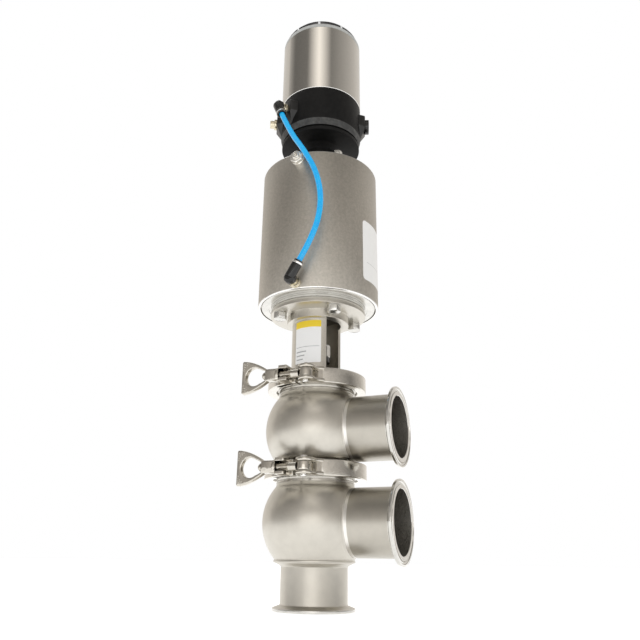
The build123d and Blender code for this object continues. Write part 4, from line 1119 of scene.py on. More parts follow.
@dataclass
class JointClamp:
    """Two-piece clamp with a swing bolt and a wing nut."""

    side: Side
    joint: float
    radius: float = 50.5
    half: float = 7.6
    lip: float = 41.6
    floor: float = 46.1
    split: float = 1.5
    bolt_line: float = 56.0
    pivot: float = 12.0
    bolt: float = 4.0
    bolt_end: float = -34.7
    nut_seat: float = 27.0
    pin: float = 3.0
    hinge_line: float = 54.5
    neck_half: float = 5.8
    loop_half: float = 16.6
    loop_middle_half: float = 13.6
    loop_thickness: float = 6.0

    def name(self, part: str) -> str:
        """Name of a piece of this clamp."""
        return f"{self.side.value}_clamp_{part}"

    def off_band(self, spot: Vector) -> bool:
        """Whether a point lies outside the turned band."""
        return spot.xy.length > self.radius + 0.05

    def band(self, way: int) -> Solid:
        """Half of the grooved band.

        Args:
            way: +1 for the half on +X.

        Returns:
            The solid at the joint's height.
        """
        rim_half = 3.85
        mouth = rim_half + (45.5 - self.lip) * FERRULE_SLOPE + 0.05
        floor = rim_half - (self.floor - 45.5) * FERRULE_SLOPE + 0.05
        outer = eased([
            (self.lip, self.half), (self.radius, self.half), (self.radius, -self.half), (self.lip, -self.half),
            (self.lip, -mouth), (self.floor, -floor), (self.floor, floor), (self.lip, mouth),
        ], 1.1, 4)
        band = Solid.turned(outer, 128)
        relief = Solid.rod(6.4, -20, 20, 32, 0).moved(Matrix.Translation((0, self.hinge_line, 0)))
        return band.sliced((way * self.split, 0, 0), (-way, 0, 0)).cut(relief).softened(0.45, 2, 50)

    def knuckle(self, way: int, low: float, high: float) -> Solid:
        """Hinge knuckle behind the band.

        Args:
            way: side of the half that it belongs to.
            low: its foot over the joint.
            high: its top over the joint.

        Returns:
            The solid at the joint's height.
        """
        outline = arc(
            (0, self.hinge_line), 6.0, 90, 270, 20
        ) if way > 0 else arc((0, self.hinge_line), 6.0, 90, -90, 20)
        outline += [
            (way * 9.0, self.hinge_line - 6.0), (way * 9.0, self.hinge_line - 1.0), (way * 4.2, self.hinge_line + 4.4)
        ]
        outline = [point for point in outline if math.hypot(*point) > 48.2] if way else outline
        return Solid.prism(outline, low, high).softened(0.5, 2, 40)

    def fixed_half(self) -> None:
        """Half on +X with the fork that holds the swing bolt."""
        fork = [
            (4.0, -45.0), (3.9, -55.6), *arc(
                (12.6, -55.4), 8.6, 186, 354, 18
            ), (21.4, -52.6), (22.4, -49.8), (24.4, -47.2),
            (27.4, -44.8), (24.0, -41.0), (14.0, -46.6),
        ]
        solids = [self.band(1), self.knuckle(1, -3.7, 3.7)]
        for low, high in ((-self.half, -4.15), (4.15, self.half)):
            solids.append(Solid.prism(fork, low, high).softened(1.3, 4, 40))
        bridge = [(4.4, -45.0), (4.4, -47.9), (21.6, -47.9), (25.0, -45.2), (23.0, -42.0), (16.0, -44.9)]
        solids.append(Solid.prism(bridge, -5.4, 5.4))
        whole = united(solids).painted(1, self.off_band).moved(Matrix.Translation((0, 0, self.joint)))
        publish(whole, self.name("fixed_half_cast"), [CLAMP_STEEL, CAST_STEEL], replaces=[self.name("fixed_half")])

    def swing_half(self) -> None:
        """Half on -X with the slotted ear that the nut bears on."""
        seat = arc((self.pivot, -self.bolt_line), self.nut_seat, 197, 163, 10)
        ear = [
            *seat, (-17.5, -46.0), (-22.5, -44.6), (-27.5, -42.2), (-22.0, -39.0), (-10.0, -45.2), (-5.0, -46.2),
            (-5.0, -63.4), (-5.8, -64.0)
        ]
        solids = [self.band(-1), self.knuckle(-1, -self.half, -3.8), self.knuckle(-1, 3.8, self.half)]
        for low, high in ((-self.half, -4.5), (4.5, self.half)):
            solids.append(Solid.prism(ear, low, high).softened(1.1, 4, 35))
        bridge = [(-16.4, -46.2), (-16.4, -51.1), (-5.4, -51.1), (-5.4, -46.2), (-12.0, -44.6)]
        solids.append(Solid.prism(bridge, -5.4, 5.4))
        whole = united(solids).painted(1, self.off_band).moved(Matrix.Translation((0, 0, self.joint)))
        body = f"{self.side.value}_clamp_half"
        publish(whole, self.name("swing_half_cast"), [CLAMP_STEEL, CAST_STEEL], body, [self.name("swing_half")])

    def pins(self) -> None:
        """Hinge pin and pivot pin, with domed heads."""
        outline = [
            (0, -9.8), (self.pin - 0.9, -9.8), (self.pin, -8.9), (self.pin, 8.9), (self.pin - 0.9, 9.8), (0, 9.8)
        ]
        solids = []
        for x, y in ((0.0, self.hinge_line), (self.pivot, -self.bolt_line)):
            solids.append(Solid.turned(outline, 40, 0.8).moved(Matrix.Translation((x, y, self.joint))))
        publish(united(solids), self.name("pins_domed"), [BRIGHT_STEEL], replaces=[self.name("pins")])

    def swing_bolt(self) -> None:
        """Swing bolt: an eye on the pivot pin and a threaded shank with a domed end."""
        outline = [(3.06, -3.95), (6.6, -3.95), (6.6, 3.95), (3.06, 3.95)]
        eye = Solid.turned(outline, 48, 0.5).moved(Matrix.Translation((self.pivot, -self.bolt_line, 0)))
        pitch, crest, root = 1.25, self.bolt, self.bolt - 0.62
        shank: list[Point] = [(0, -5.0), (crest, -5.0), (crest, 3.0)]
        reach = 3.4
        while reach < -self.bolt_end - 3.4:
            shank += [(root, reach), (root, reach + 0.2), (crest, reach + 0.62), (crest, reach + 0.85)]
            reach += pitch
        shank += [(crest - 0.2, reach)]
        shank += arc((0, -self.bolt_end - crest), crest, 0, 90, 10)
        rod = Solid.turned(shank, 40).moved(
            Matrix.Translation((0, -self.bolt_line, 0)) @ Matrix.Rotation(math.radians(-90), 4, "Y")
        )
        whole = united([eye, rod]).moved(Matrix.Translation((0, 0, self.joint)))
        body = f"{self.side.value}_swing_bolt"
        publish(whole, self.name("bolt_threaded"), [CAST_STEEL], body, [self.name("bolt")])

    def loop_outline(self, neck_end: float) -> tuple[list[Point], list[Point]]:
        """Outer and inner outline of the wing nut's loop, of (x, z) points in step.

        Args:
            neck_end: where the loop meets its neck.

        Returns:
            Both outlines, with as many points each.
        """
        end = neck_end - 28.0
        middle = (neck_end + end) / 2
        centre = end + 4.2 + 9.3
        steps = 14
        upper = []
        for step in range(steps + 1):
            share = step / steps
            first, crown, last = Vector((neck_end, self.neck_half)), Vector(
                (middle, self.loop_middle_half)
            ), Vector((end + 1.6, self.loop_half))
            handle = crown * 2 - (first + last) / 2
            spot = first * (1 - share) ** 2 + handle * 2 * share * (1 - share) + last * share**2
            upper.append((spot.x, spot.y))
        upper += arc((end + 1.6, self.loop_half - 1.6), 1.6, 90, 180, 4)[1:]
        half = upper + [(end, self.loop_half * (1 - 2 * step / 10)) for step in range(2, 5)]
        outer = half + [(end, 0.0)] + [(x, -z) for x, z in reversed(half)]
        tip = (neck_end - 2.2, 4.2)
        hole = [tip, (centre + 8.0, 6.6)] + arc((centre, 0), 9.3, 52, 180, 20)
        inner_half = resampled(hole, len(half))
        inner = inner_half + [(centre - 9.3, 0.0)] + [(x, -z) for x, z in reversed(inner_half)]
        inner[len(half) - 1] = ((inner[len(half) - 2][0] + centre - 9.3) / 2, inner[len(half) - 2][1] * 0.45)
        inner[len(half) + 1] = (inner[len(half) - 1][0], -inner[len(half) - 1][1])
        return outer, inner

    def wing_nut(self) -> None:
        """Wing nut: a square neck and a wide open loop to turn it by."""
        face = self.pivot - self.nut_seat - 0.05
        neck_end = face - 13.0
        outer, inner = self.loop_outline(neck_end)
        loop = Solid()
        mesh = loop.mesh
        rings = []
        for outline in (outer, inner):
            verts = [mesh.verts.new((x, -self.loop_thickness / 2, z)) for x, z in outline]
            rings.append([mesh.edges.new((verts[index - 1], verts[index])) for index in range(len(verts))])
        bmesh.ops.bridge_loops(mesh, edges=rings[0] + rings[1])
        raised = bmesh.ops.extrude_face_region(mesh, geom=mesh.faces[:], use_keep_orig=True)
        verts = [item for item in raised["geom"] if isinstance(item, bmesh.types.BMVert)]
        bmesh.ops.translate(mesh, verts=verts, vec=(0, self.loop_thickness, 0))
        bmesh.ops.recalc_face_normals(mesh, faces=mesh.faces)
        loop.softened(0.9, 3, 50)
        square = eased([(self.neck_half, self.neck_half), (-self.neck_half, self.neck_half),
                        (-self.neck_half, -self.neck_half), (self.neck_half, -self.neck_half)], 2.0, 5)
        neck = Solid.prism(square, 0, 14.0).softened(0.5, 2, 50)
        neck.moved(Matrix.Translation((face, 0, 0)) @ Matrix.Rotation(math.radians(-90), 4, "Y"))
        boss = Solid.turned([(0, 0), (6.2, 0), (7.0, 0.9), (7.0, 2.2), (6.0, 3.4), (0, 3.4)], 48, 0.4)
        boss.moved(Matrix.Translation((face, 0, 0)) @ Matrix.Rotation(math.radians(-90), 4, "Y"))
        solids = [loop, neck, boss, *self.corner_dots(neck_end)]
        whole = united(solids).moved(Matrix.Translation((0, -self.bolt_line, self.joint)))
        body = f"{self.side.value}_wing_nut"
        publish(whole, self.name("wing_nut_cast"), [CAST_STEEL], body, [self.name("wing_nut")])

    def corner_dots(self, neck_end: float) -> list[Solid]:
        """Raised grip dots on both faces near the loop's corners.

        Args:
            neck_end: where the loop meets its neck.

        Returns:
            The dots.
        """
        end = neck_end - 28.0
        dots = []
        for row, column in ((0, 0), (0, 1), (0, 2), (0, 3), (1, 0), (1, 1), (1, 2), (2, 0), (2, 1), (3, 0), (4, 0)):
            x, z = end + 1.9 + 1.75 * column, self.loop_half - 2.4 - 1.75 * row
            for way in (1, -1):
                for side in (1, -1):
                    spot = Matrix.Translation((x, side * self.loop_thickness / 2, way * z))
                    dots.append(Solid.ball(0.68, spot @ Matrix.Diagonal((1, 0.6, 1, 1))))
        return dots

    def build(self) -> None:
        """Build every piece of the clamp."""
        self.fixed_half()
        self.swing_half()
        self.pins()
        self.swing_bolt()
        self.wing_nut()


def resampled(points: Sequence[Point], count: int) -> list[Point]:
    """Points at even steps along an open line.

    Args:
        points: corners of the line.
        count: how many points to return.

    Returns:
        The new points, both ends included.
    """
    lengths = [0.0]
    for before, after in zip(points, points[1:]):
        lengths.append(lengths[-1] + math.dist(before, after))
    result, index = [], 0
    for step in range(count):
        goal = lengths[-1] * step / (count - 1)
        while index < len(points) - 2 and lengths[index + 1] < goal:
            index += 1
        span = lengths[index + 1] - lengths[index]
        share = (goal - lengths[index]) / span if span else 0.0
        before, after = points[index], points[index + 1]
        result.append((before[0] + (after[0] - before[0]) * share, before[1] + (after[1] - before[1]) * share))
    return result


# Bolts ----------------------------------------------------------------------

def hex_head(radius: float, height: float, chamfer: float = 0.16) -> Solid:
    """Hexagon head on the Z axis, its outer end chamfered, from 0 up.

    Args:
        radius: distance to its corners.
        height: its height.
        chamfer: share of the radius that the chamfer takes off.

    Returns:
        The solid.
    """
    head = Solid.prism(arc((0, 0), radius, 0, 300, 5), 0, height)
    drop = chamfer * radius * 0.58
    cone = [
        (0, -1), (radius * 1.2, -1), (radius * 1.2, height - drop - 0.1 * radius), (radius, height - drop),
        (radius * (1 - chamfer), height), (0, height)
    ]
    return head.clipped(Solid.turned(cone, 48)).softened(0.18, 1, 40)


# Yoke -----------------------------------------------------------------------

@dataclass
class Yoke:
    """Tubular yoke with its window, bolts and label."""

    foot: float = 213.5
    top: float = 293.5
    radius: float = 27.2
    wall: float = 2.6
    flange: float = 51.0
    collar: float = 33.0
    collar_foot: float = 279.5
    window_half: float = 48.0
    sill: float = 221.1
    bolt_track: float = 43.0
    label_bearings: Point = (-122.6, -59.7)
    label_heights: Point = (231.7, 277.2)

    def tube(self) -> None:
        """Yoke tube between its clamp flange and its bolted flange."""
        bore, foot, flange_foot = self.radius - self.wall, self.foot, self.top - 5.0
        outline = eased([
            (bore, foot), (45.5, foot), (45.5, foot + 2.85), (38.5, foot + 5.4), (38.5, foot + 5.6),
            (self.radius + 1.5, foot + 5.6), (self.radius, foot + 7.1), (self.radius, self.collar_foot),
            (self.collar, self.collar_foot), (self.collar, flange_foot), (self.flange, flange_foot),
            (self.flange, self.top), (15.0, self.top), (15.0, flange_foot), (bore, flange_foot),
        ], 0.5, 3)
        half = self.window_half
        cutter = [(0, 0), *arc((0, 0), 60.0, -half, half, 12)]
        window = Solid.prism(cutter, self.sill, self.collar_foot)
        solid = Solid.turned(outline, 128).cut(window)
        solid.painted(1, lambda spot: spot.xy.length < bore + 0.1 and foot < spot.z < self.top)
        publish(solid, "yoke_tube", [YOKE_STEEL, YOKE_LINING], replaces=["yoke"])

    def bolts(self) -> None:
        """Four hexagon bolts that hang under the flange."""
        solids = []
        for bearing in (45, 135, 225, 315):
            spot = Matrix.Rotation(math.radians(bearing), 4, "Z") @ Matrix.Translation(
                (self.bolt_track, 0, self.top - 5.0)
            )
            down = spot @ Matrix.Rotation(math.pi, 4, "X")
            washer = Solid.turned([(0, 0), (6.9, 0), (6.9, 0.5), (0, 0.5)], 40, 0.15)
            head = hex_head(7.2, 6.9).moved(Matrix.Translation((0, 0, 0.6)))
            shank = Solid.rod(4.0, 0.3, 15, 32).moved(Matrix.Rotation(math.pi, 4, "X"))
            solids += [washer.moved(down), head.moved(down), shank.moved(down)]
        publish(united(solids), "yoke_hex_bolts", [RING_STEEL], replaces=["yoke_bolts"])

    def build(self) -> None:
        """Build every piece of the yoke."""
        self.tube()
        self.bolts()
        label = wrapped_label(self.radius, self.label_bearings, self.label_heights, 1.2)
        publish(label, "yoke_label", [YOKE_LABEL])


def wrapped_label(radius: float, bearings: Point, heights: Point, corner: float, thickness: float = 0.12) -> Solid:
    """Thin label with rounded corners wrapped round an upright tube.

    Args:
        radius: radius of the tube.
        bearings: first and last bearing in degrees.
        heights: lower and upper edge.
        corner: radius of its corners.
        thickness: thickness of the film.

    Returns:
        The solid, with a UV map that runs across and up.
    """
    width = math.radians(bearings[1] - bearings[0]) * radius
    half_height = (heights[1] - heights[0]) / 2
    solid = Solid()
    mesh = solid.mesh
    columns, rows, ends = 48, 16, 8
    inner = [corner * (1 - math.cos(math.pi / 2 * step / ends)) for step in range(ends)]
    across = inner + [corner + (width - 2 * corner) * step / columns for step in range(columns + 1)]
    across += [width - way for way in reversed(inner)]
    bmesh.ops.create_grid(mesh, x_segments=len(across) - 1, y_segments=rows, size=1.0)
    layer = mesh.loops.layers.uv.new("label")
    places = {}
    for vert in mesh.verts:
        column = round((vert.co.x + 1) / 2 * (len(across) - 1))
        way = across[column]
        inset = min(way, width - way)
        trim = corner - math.sqrt(max(corner**2 - (corner - inset) ** 2, 0)) if inset < corner else 0.0
        places[vert.index] = (way, vert.co.y * (half_height - trim))
    mesh.verts.index_update()
    for face in mesh.faces:
        for loop in face.loops:
            way, rise = places[loop.vert.index]
            loop[layer].uv = (way / width, 0.5 + rise / (2 * half_height))
    for vert in mesh.verts:
        way, rise = places[vert.index]
        bearing = math.radians(bearings[0]) + way / radius
        vert.co = (
            (radius + 0.02) * math.cos(bearing), (radius + 0.02) * math.sin(bearing),
            (heights[0] + heights[1]) / 2 + rise
        )
    bmesh.ops.recalc_face_normals(mesh, faces=mesh.faces)
    middle = mesh.faces[:][len(mesh.faces) // 2]
    if middle.normal.xy.dot(middle.calc_center_median().xy) < 0:
        bmesh.ops.reverse_faces(mesh, faces=mesh.faces)
    bmesh.ops.solidify(mesh, geom=mesh.faces[:], thickness=-thickness)
    return solid


# Stem in the window ---------------------------------------------------------

@dataclass
class StemCoupling:
    """Knurled coupling, stroke collar and outer stem seen through the window."""

    foot: float = 243.5
    length: float = 13.0
    radius: float = 13.7
    teeth: int = 60

    def build(self) -> None:
        """Build the three pieces, which ride on the upper plug."""
        top = self.foot + self.length
        plain = [(8.05, self.foot), (self.radius, self.foot), (self.radius, self.foot + 1.5),
                 (self.radius - 0.5, self.foot + 1.7), (self.radius - 0.5, top - 1.7), (self.radius, top - 1.5),
                 (self.radius, top), (8.05, top)]
        body = Solid.turned(eased(plain, 0.4), 96)
        outline = []
        for tooth in range(self.teeth):
            for share, radius in ((0.0, self.radius - 0.55), (0.3, self.radius - 0.05), (0.6, self.radius - 0.05)):
                bearing = math.tau * (tooth + share) / self.teeth
                outline.append((radius * math.cos(bearing), radius * math.sin(bearing)))
        knurl = Solid.prism(outline, self.foot + 1.6, top - 1.6)
        publish(united([body, knurl]), "stem_coupling_knurled", [RING_STEEL], "upper_plug", ["stem_coupling"], 20)
        collar = [(8.05, self.foot - 5), (13.0, self.foot - 5), (13.0, self.foot), (8.05, self.foot)]
        publish(Solid.turned(collar, 96, 0.6), "stroke_collar_ring", [FITTING_PLASTIC], "upper_plug", ["stroke_collar"])
        stem = [(5.06, 136.0), (8.0, 136.0), (8.0, 250.0), (5.06, 250.0)]
        publish(Solid.turned(stem, 64, 0.3), "outer_stem_tube", [CLAMP_STEEL], "upper_plug", ["outer_stem"])


# Actuator -------------------------------------------------------------------

@dataclass
class Actuator:
    """Blasted barrel with its base, top cap, bolts, vent and label."""

    foot: float = 297.5
    top: float = 458.0
    radius: float = 65.0
    wall: float = 2.5
    base_foot: float = 293.5
    base_top: float = 309.5
    base_radius: float = 51.0
    cap_foot: float = 443.0
    bolt_track: float = 50.0
    vent_bearing: float = -89.0
    vent_height: float = 450.5
    label_bearings: Point = (-22.0, 48.0)
    label_heights: Point = (316.6, 385.5)

    def barrel(self) -> None:
        """Barrel with bright turned edges."""
        bore, edge = self.radius - self.wall, 1.1
        outline = [
            (bore, self.foot), (self.radius - edge, self.foot), (self.radius - 0.35, self.foot + 0.35),
            (self.radius, self.foot + edge), (self.radius, self.top - edge),
            (self.radius - 0.35, self.top - 0.35), (self.radius - edge, self.top), (bore, self.top),
        ]
        solid = Solid.turned(outline, 160)
        solid.painted(1, lambda spot: spot.z < self.foot + edge - 0.05 or spot.z > self.top - edge + 0.05)
        publish(solid, "actuator_barrel", [BARREL_STEEL, BRIGHT_STEEL], replaces=["actuator_cylinder"])

    def base(self) -> None:
        """Base with its stepped ring under the barrel."""
        bore = self.radius - self.wall
        outline = [
            (10.5, self.base_foot), (self.base_radius - 0.9, self.base_foot), (
                self.base_radius - 0.9, self.base_foot + 0.7
            ),
            (self.base_radius, self.base_foot + 1.0), (self.base_radius, self.foot - 0.5), (
                self.base_radius - 0.5, self.foot - 0.2
            ),
            (self.base_radius - 0.5, self.foot + 0.5), (self.base_radius + 2.2, self.foot + 0.5),
            (self.base_radius + 2.4, self.foot + 0.1), (bore - 1.6, self.foot + 0.1), (bore - 1.2, self.foot + 0.5),
            (bore - 1.2, self.foot + 2.4), (
                bore - 0.05, self.foot + 2.4
            ), (bore - 0.05, self.base_top), (10.5, self.base_top),
        ]
        publish(Solid.turned(outline, 128), "actuator_base_rings", [RING_STEEL], replaces=["actuator_base"])

    def cap(self) -> None:
        """Top cap set in the barrel."""
        bore = self.radius - self.wall
        outline = [(5.2, self.cap_foot), (bore - 0.05, self.cap_foot), (bore - 0.05, self.top - 1.2), (bore - 1.0, self.top - 0.3),
                   (bore - 2.2, self.top), (5.2, self.top)]
        publish(Solid.turned(outline, 128), "actuator_top_plate", [BARREL_STEEL], replaces=["actuator_top_cap"])

    def top_bolts(self) -> None:
        """Four bolts that stand on the top cap."""
        solids = []
        for bearing in (45, 135, 225, 315):
            spot = Matrix.Rotation(math.radians(bearing), 4, "Z") @ Matrix.Translation((self.bolt_track, 0, self.top))
            solids.append(Solid.turned([(0, -0.1), (5.5, -0.1), (5.5, 1.2), (0, 1.2)], 40, 0.2).moved(spot))
            solids.append(hex_head(5.6, 10.2).moved(spot @ Matrix.Translation((0, 0, 1.3))))
            solids.append(Solid.rod(3.0, -11, 1, 32).moved(spot))
        publish(united(solids), "top_hex_bolts", [RING_STEEL], replaces=["top_bolts"])

    def vent(self) -> None:
        """Hexagon vent screw in the barrel's wall."""
        place = lying(self.vent_height, self.vent_bearing)
        collar = Solid.turned(
            [(0, self.radius - 0.4), (7.6, self.radius - 0.4), (7.6, self.radius + 0.9), (0, self.radius + 0.9)], 48,
            0.3
        )
        head = hex_head(7.6, 4.6).moved(Matrix.Translation((0, 0, self.radius + 0.8)))
        tip = Solid.turned(
            [(1.6, self.radius + 3.0), (4.4, self.radius + 3.0), (3.6, self.radius + 8.5), (1.6, self.radius + 8.5)],
            40, 0.5
        )
        thread = Solid.rod(5.0, 52, self.radius + 0.2, 40)
        solid = united([collar.moved(place), head.moved(place), tip.moved(place), thread.moved(place)])
        publish(solid, "vent_screw", [PALE_STEEL], replaces=["vent_plug"])

    def build(self) -> None:
        """Build every piece of the actuator."""
        self.barrel()
        self.base()
        self.cap()
        self.top_bolts()
        self.vent()
        label = wrapped_label(self.radius, self.label_bearings, self.label_heights, 4.0)
        publish(label, "barrel_label", [PLAIN_LABEL])


# Control head ---------------------------------------------------------------

@dataclass
class ControlHead:
    """Round control head with its adapter, bosses, steel cover and light ring."""

    foot: float = 458.0
    disc_foot: float = 501.5
    base_foot: float = 505.5
    edge: float = 558.3
    cover_top: float = 652.9
    radius: float = 47.6
    wall: float = 4.2
    cover_radius: float = 47.7
    band_height: float = 4.8
    lens_radius: float = 45.4
    lens_rim: float = 5.9
    crown_radius: float = 42.0
    crown_height: float = 10.4
    boss_level: float = 536.5
    boss_face: float = 53.5
    boss_bearings: tuple[float, float, float] = (-118.0, -152.0, 20.0)
    boss_spread: float = 1.38
    notches: int = 10

    def adapter(self) -> None:
        """Waisted adapter between the actuator and the head."""
        outline = eased([
            (6.5, self.foot), (26.0, self.foot), (26.0, self.foot + 4), (18.0, self.foot + 7), (
                18.0, self.disc_foot - 4
            ),
            (24.0, self.disc_foot), (46.0, self.disc_foot), (46.0, self.base_foot), (6.5, self.base_foot),
        ], 0.6, 3)
        publish(Solid.turned(outline, 128), "head_adapter_waist", [HEAD_PLASTIC], replaces=["head_adapter"])

    def boss(self) -> Solid:
        """Shield-shaped boss on +X that tapers down into the wall."""
        bore = self.radius - self.wall
        outline = eased([
            (-10.0, -5.0), (-10.0, 9.5), (10.0, 9.5), (10.0, -5.0), (3.0, -19.5), (-3.0, -19.5),
        ], 3.0, 5)
        turned = Matrix(((0, 0, 1, 0), (1, 0, 0, 0), (0, 1, 0, 0), (0, 0, 0, 1)))
        solid = Solid.prism(outline, bore + 1.0, self.boss_face).moved(turned)
        for vert in solid.mesh.verts:
            if vert.co.x < bore + 1.5:
                vert.co.y *= self.boss_spread
        slant = Vector((19.5 - 7.0, 0, -(self.boss_face - self.radius + 0.5))).normalized()
        solid.sliced((self.boss_face, 0, -7.0), tuple(slant))
        return solid.softened(0.9, 3, 28)

    def base(self) -> None:
        """Black base of the head with its three bosses."""
        bore, foot = self.radius - self.wall, self.base_foot
        outline = [
            (11.0, foot), (bore, foot), (bore, foot + 2.5), (self.radius - 2.1, foot + 2.5), (self.radius, foot + 10.3),
            (self.radius, self.edge), (46.4, self.edge), (46.4, self.edge + 7.7), (bore, self.edge + 7.7),
            (bore, foot + 4.5), (11.0, foot + 4.5),
        ]
        solid = Solid.turned(eased(outline, 0.5, 3), 160)
        # Slot 1: the chamfer round the base's foot, in the lighter grey, which is partly painted light.
        solid.painted(1, lambda spot: foot + 2.7 < spot.z < foot + 10.0 and math.hypot(spot.x, spot.y) > 45.0)
        bosses = []
        for bearing in self.boss_bearings:
            place = Matrix.Translation((0, 0, self.boss_level)) @ Matrix.Rotation(math.radians(bearing), 4, "Z")
            bosses.append(self.boss().painted(2, lambda spot: True).moved(place))
        publish(
            united([solid, *bosses]), "head_base_shell", [HEAD_PLASTIC, LIT_CHAMFER_PLASTIC, BOSS_PLASTIC],
            replaces=["head_base"]
        )

    def cover(self) -> None:
        """Brushed steel cover with a bright lower edge and the pale band round its top."""
        top, radius = self.cover_top, self.cover_radius
        inner, seam = radius - 1.2, self.cover_top - self.band_height
        outline = [
            (inner, self.edge + 0.1), (radius - 0.35, self.edge + 0.1), (radius, self.edge + 0.5),
            (radius, seam - 0.3), (radius - 0.3, seam), (inner, seam),
        ]
        solid = Solid.turned(outline, 192)
        solid.painted(1, lambda spot: spot.z < self.edge + 0.6)
        publish(solid, "head_cover_sheet", [COVER_STEEL, BRIGHT_STEEL], replaces=["head_cover"])
        band = [
            (inner, seam + 0.05), (radius - 0.35, seam + 0.05), (radius - 0.02, seam + 0.4), (radius, seam + 1.2),
            *arc((radius - 1.0, top - 1.0), 1.0, 0, 90, 6), (40.0, top), (40.0, top - 1.2), (inner - 0.6, top - 1.2),
            (inner, top - 1.8),
        ]
        publish(Solid.turned(band, 192), "head_cover_band", [BAND_PLASTIC], replaces=["head_cover"])

    def lens(self) -> None:
        """Smoked cap: a notched rim and a raised crown, with pale blocks in the notches as painted glints."""
        top, radius, rim = self.cover_top, self.lens_radius, self.cover_top + self.lens_rim
        crown, peak = self.crown_radius, self.cover_top + self.crown_height
        outline = eased([
            (38.0, top - 1.2), (40.0, top - 1.2), (40.0, top + 0.05), (radius - 0.5, top + 0.05), (radius, top + 0.5),
            (radius, rim - 0.9), (radius - 0.9, rim), (crown + 0.5, rim), (crown, rim + 0.5), (crown, peak - 1.2),
            (crown - 1.2, peak), (0, peak), (0, peak - 2), (38.0, peak - 2),
        ], 0.35, 2)
        solid = Solid.turned(outline, 200)
        cutters, glint_blocks = [], []
        for step in range(self.notches):
            turn = Matrix.Rotation(math.tau * step / self.notches, 4, "Z")
            cutters.append(
                Solid.prism([(radius - 1.6, -1.3), (radius + 2, -1.5), (radius + 2, 1.5), (radius - 1.6, 1.3)], top + 0.8, rim + 1).moved(turn)
            )
            # Pale block in each notch: a painted glint.
            glint_blocks.append(
                Solid.prism([(radius - 1.6, -1.3), (radius - 0.1, -1.36), (radius - 0.1, 1.36), (radius - 1.6, 1.3)], top + 0.8, rim - 0.3).softened(0.2, 2).moved(turn)
            )
        solid.cut(united(cutters))
        publish(solid, "head_light_cap", [LENS], replaces=["head_lens"])
        publish(united(glint_blocks), "head_notch_painted_glints", [GLINT_BLOCK_PLASTIC])

    def screws(self) -> None:
        """Silencer and blanking plug in two of the bosses."""
        face = self.boss_face
        place = lying(self.boss_level, self.boss_bearings[1])
        barrel = Solid.turned([(0, 44.5), (5.0, 44.5), (5.0, face - 0.1), (6.2, face - 0.1), (6.2, face + 3.0), (4.6, face + 3.0),
                               (4.6, face + 8.0), (0, face + 8.0)], 40, 0.5)
        publish(barrel.moved(place), "silencer_body", [BRASS], replaces=["silencer"])
        place = lying(self.boss_level, self.boss_bearings[2])
        cap = Solid.turned([(0, 44.5), (5.0, 44.5), (5.0, face - 0.1), (8.6, face - 0.1), (8.6, face + 4.5), (4.4, face + 4.5),
                            (4.4, face + 3.4), (0, face + 3.4)], 64, 0.6)
        publish(cap.moved(place), "blanking_screw", [FITTING_PLASTIC], replaces=["blanking_plug"])

    def build(self) -> None:
        """Build every piece of the head."""
        self.adapter()
        self.base()
        self.cover()
        self.lens()
        self.screws()


# Air line -------------------------------------------------------------------

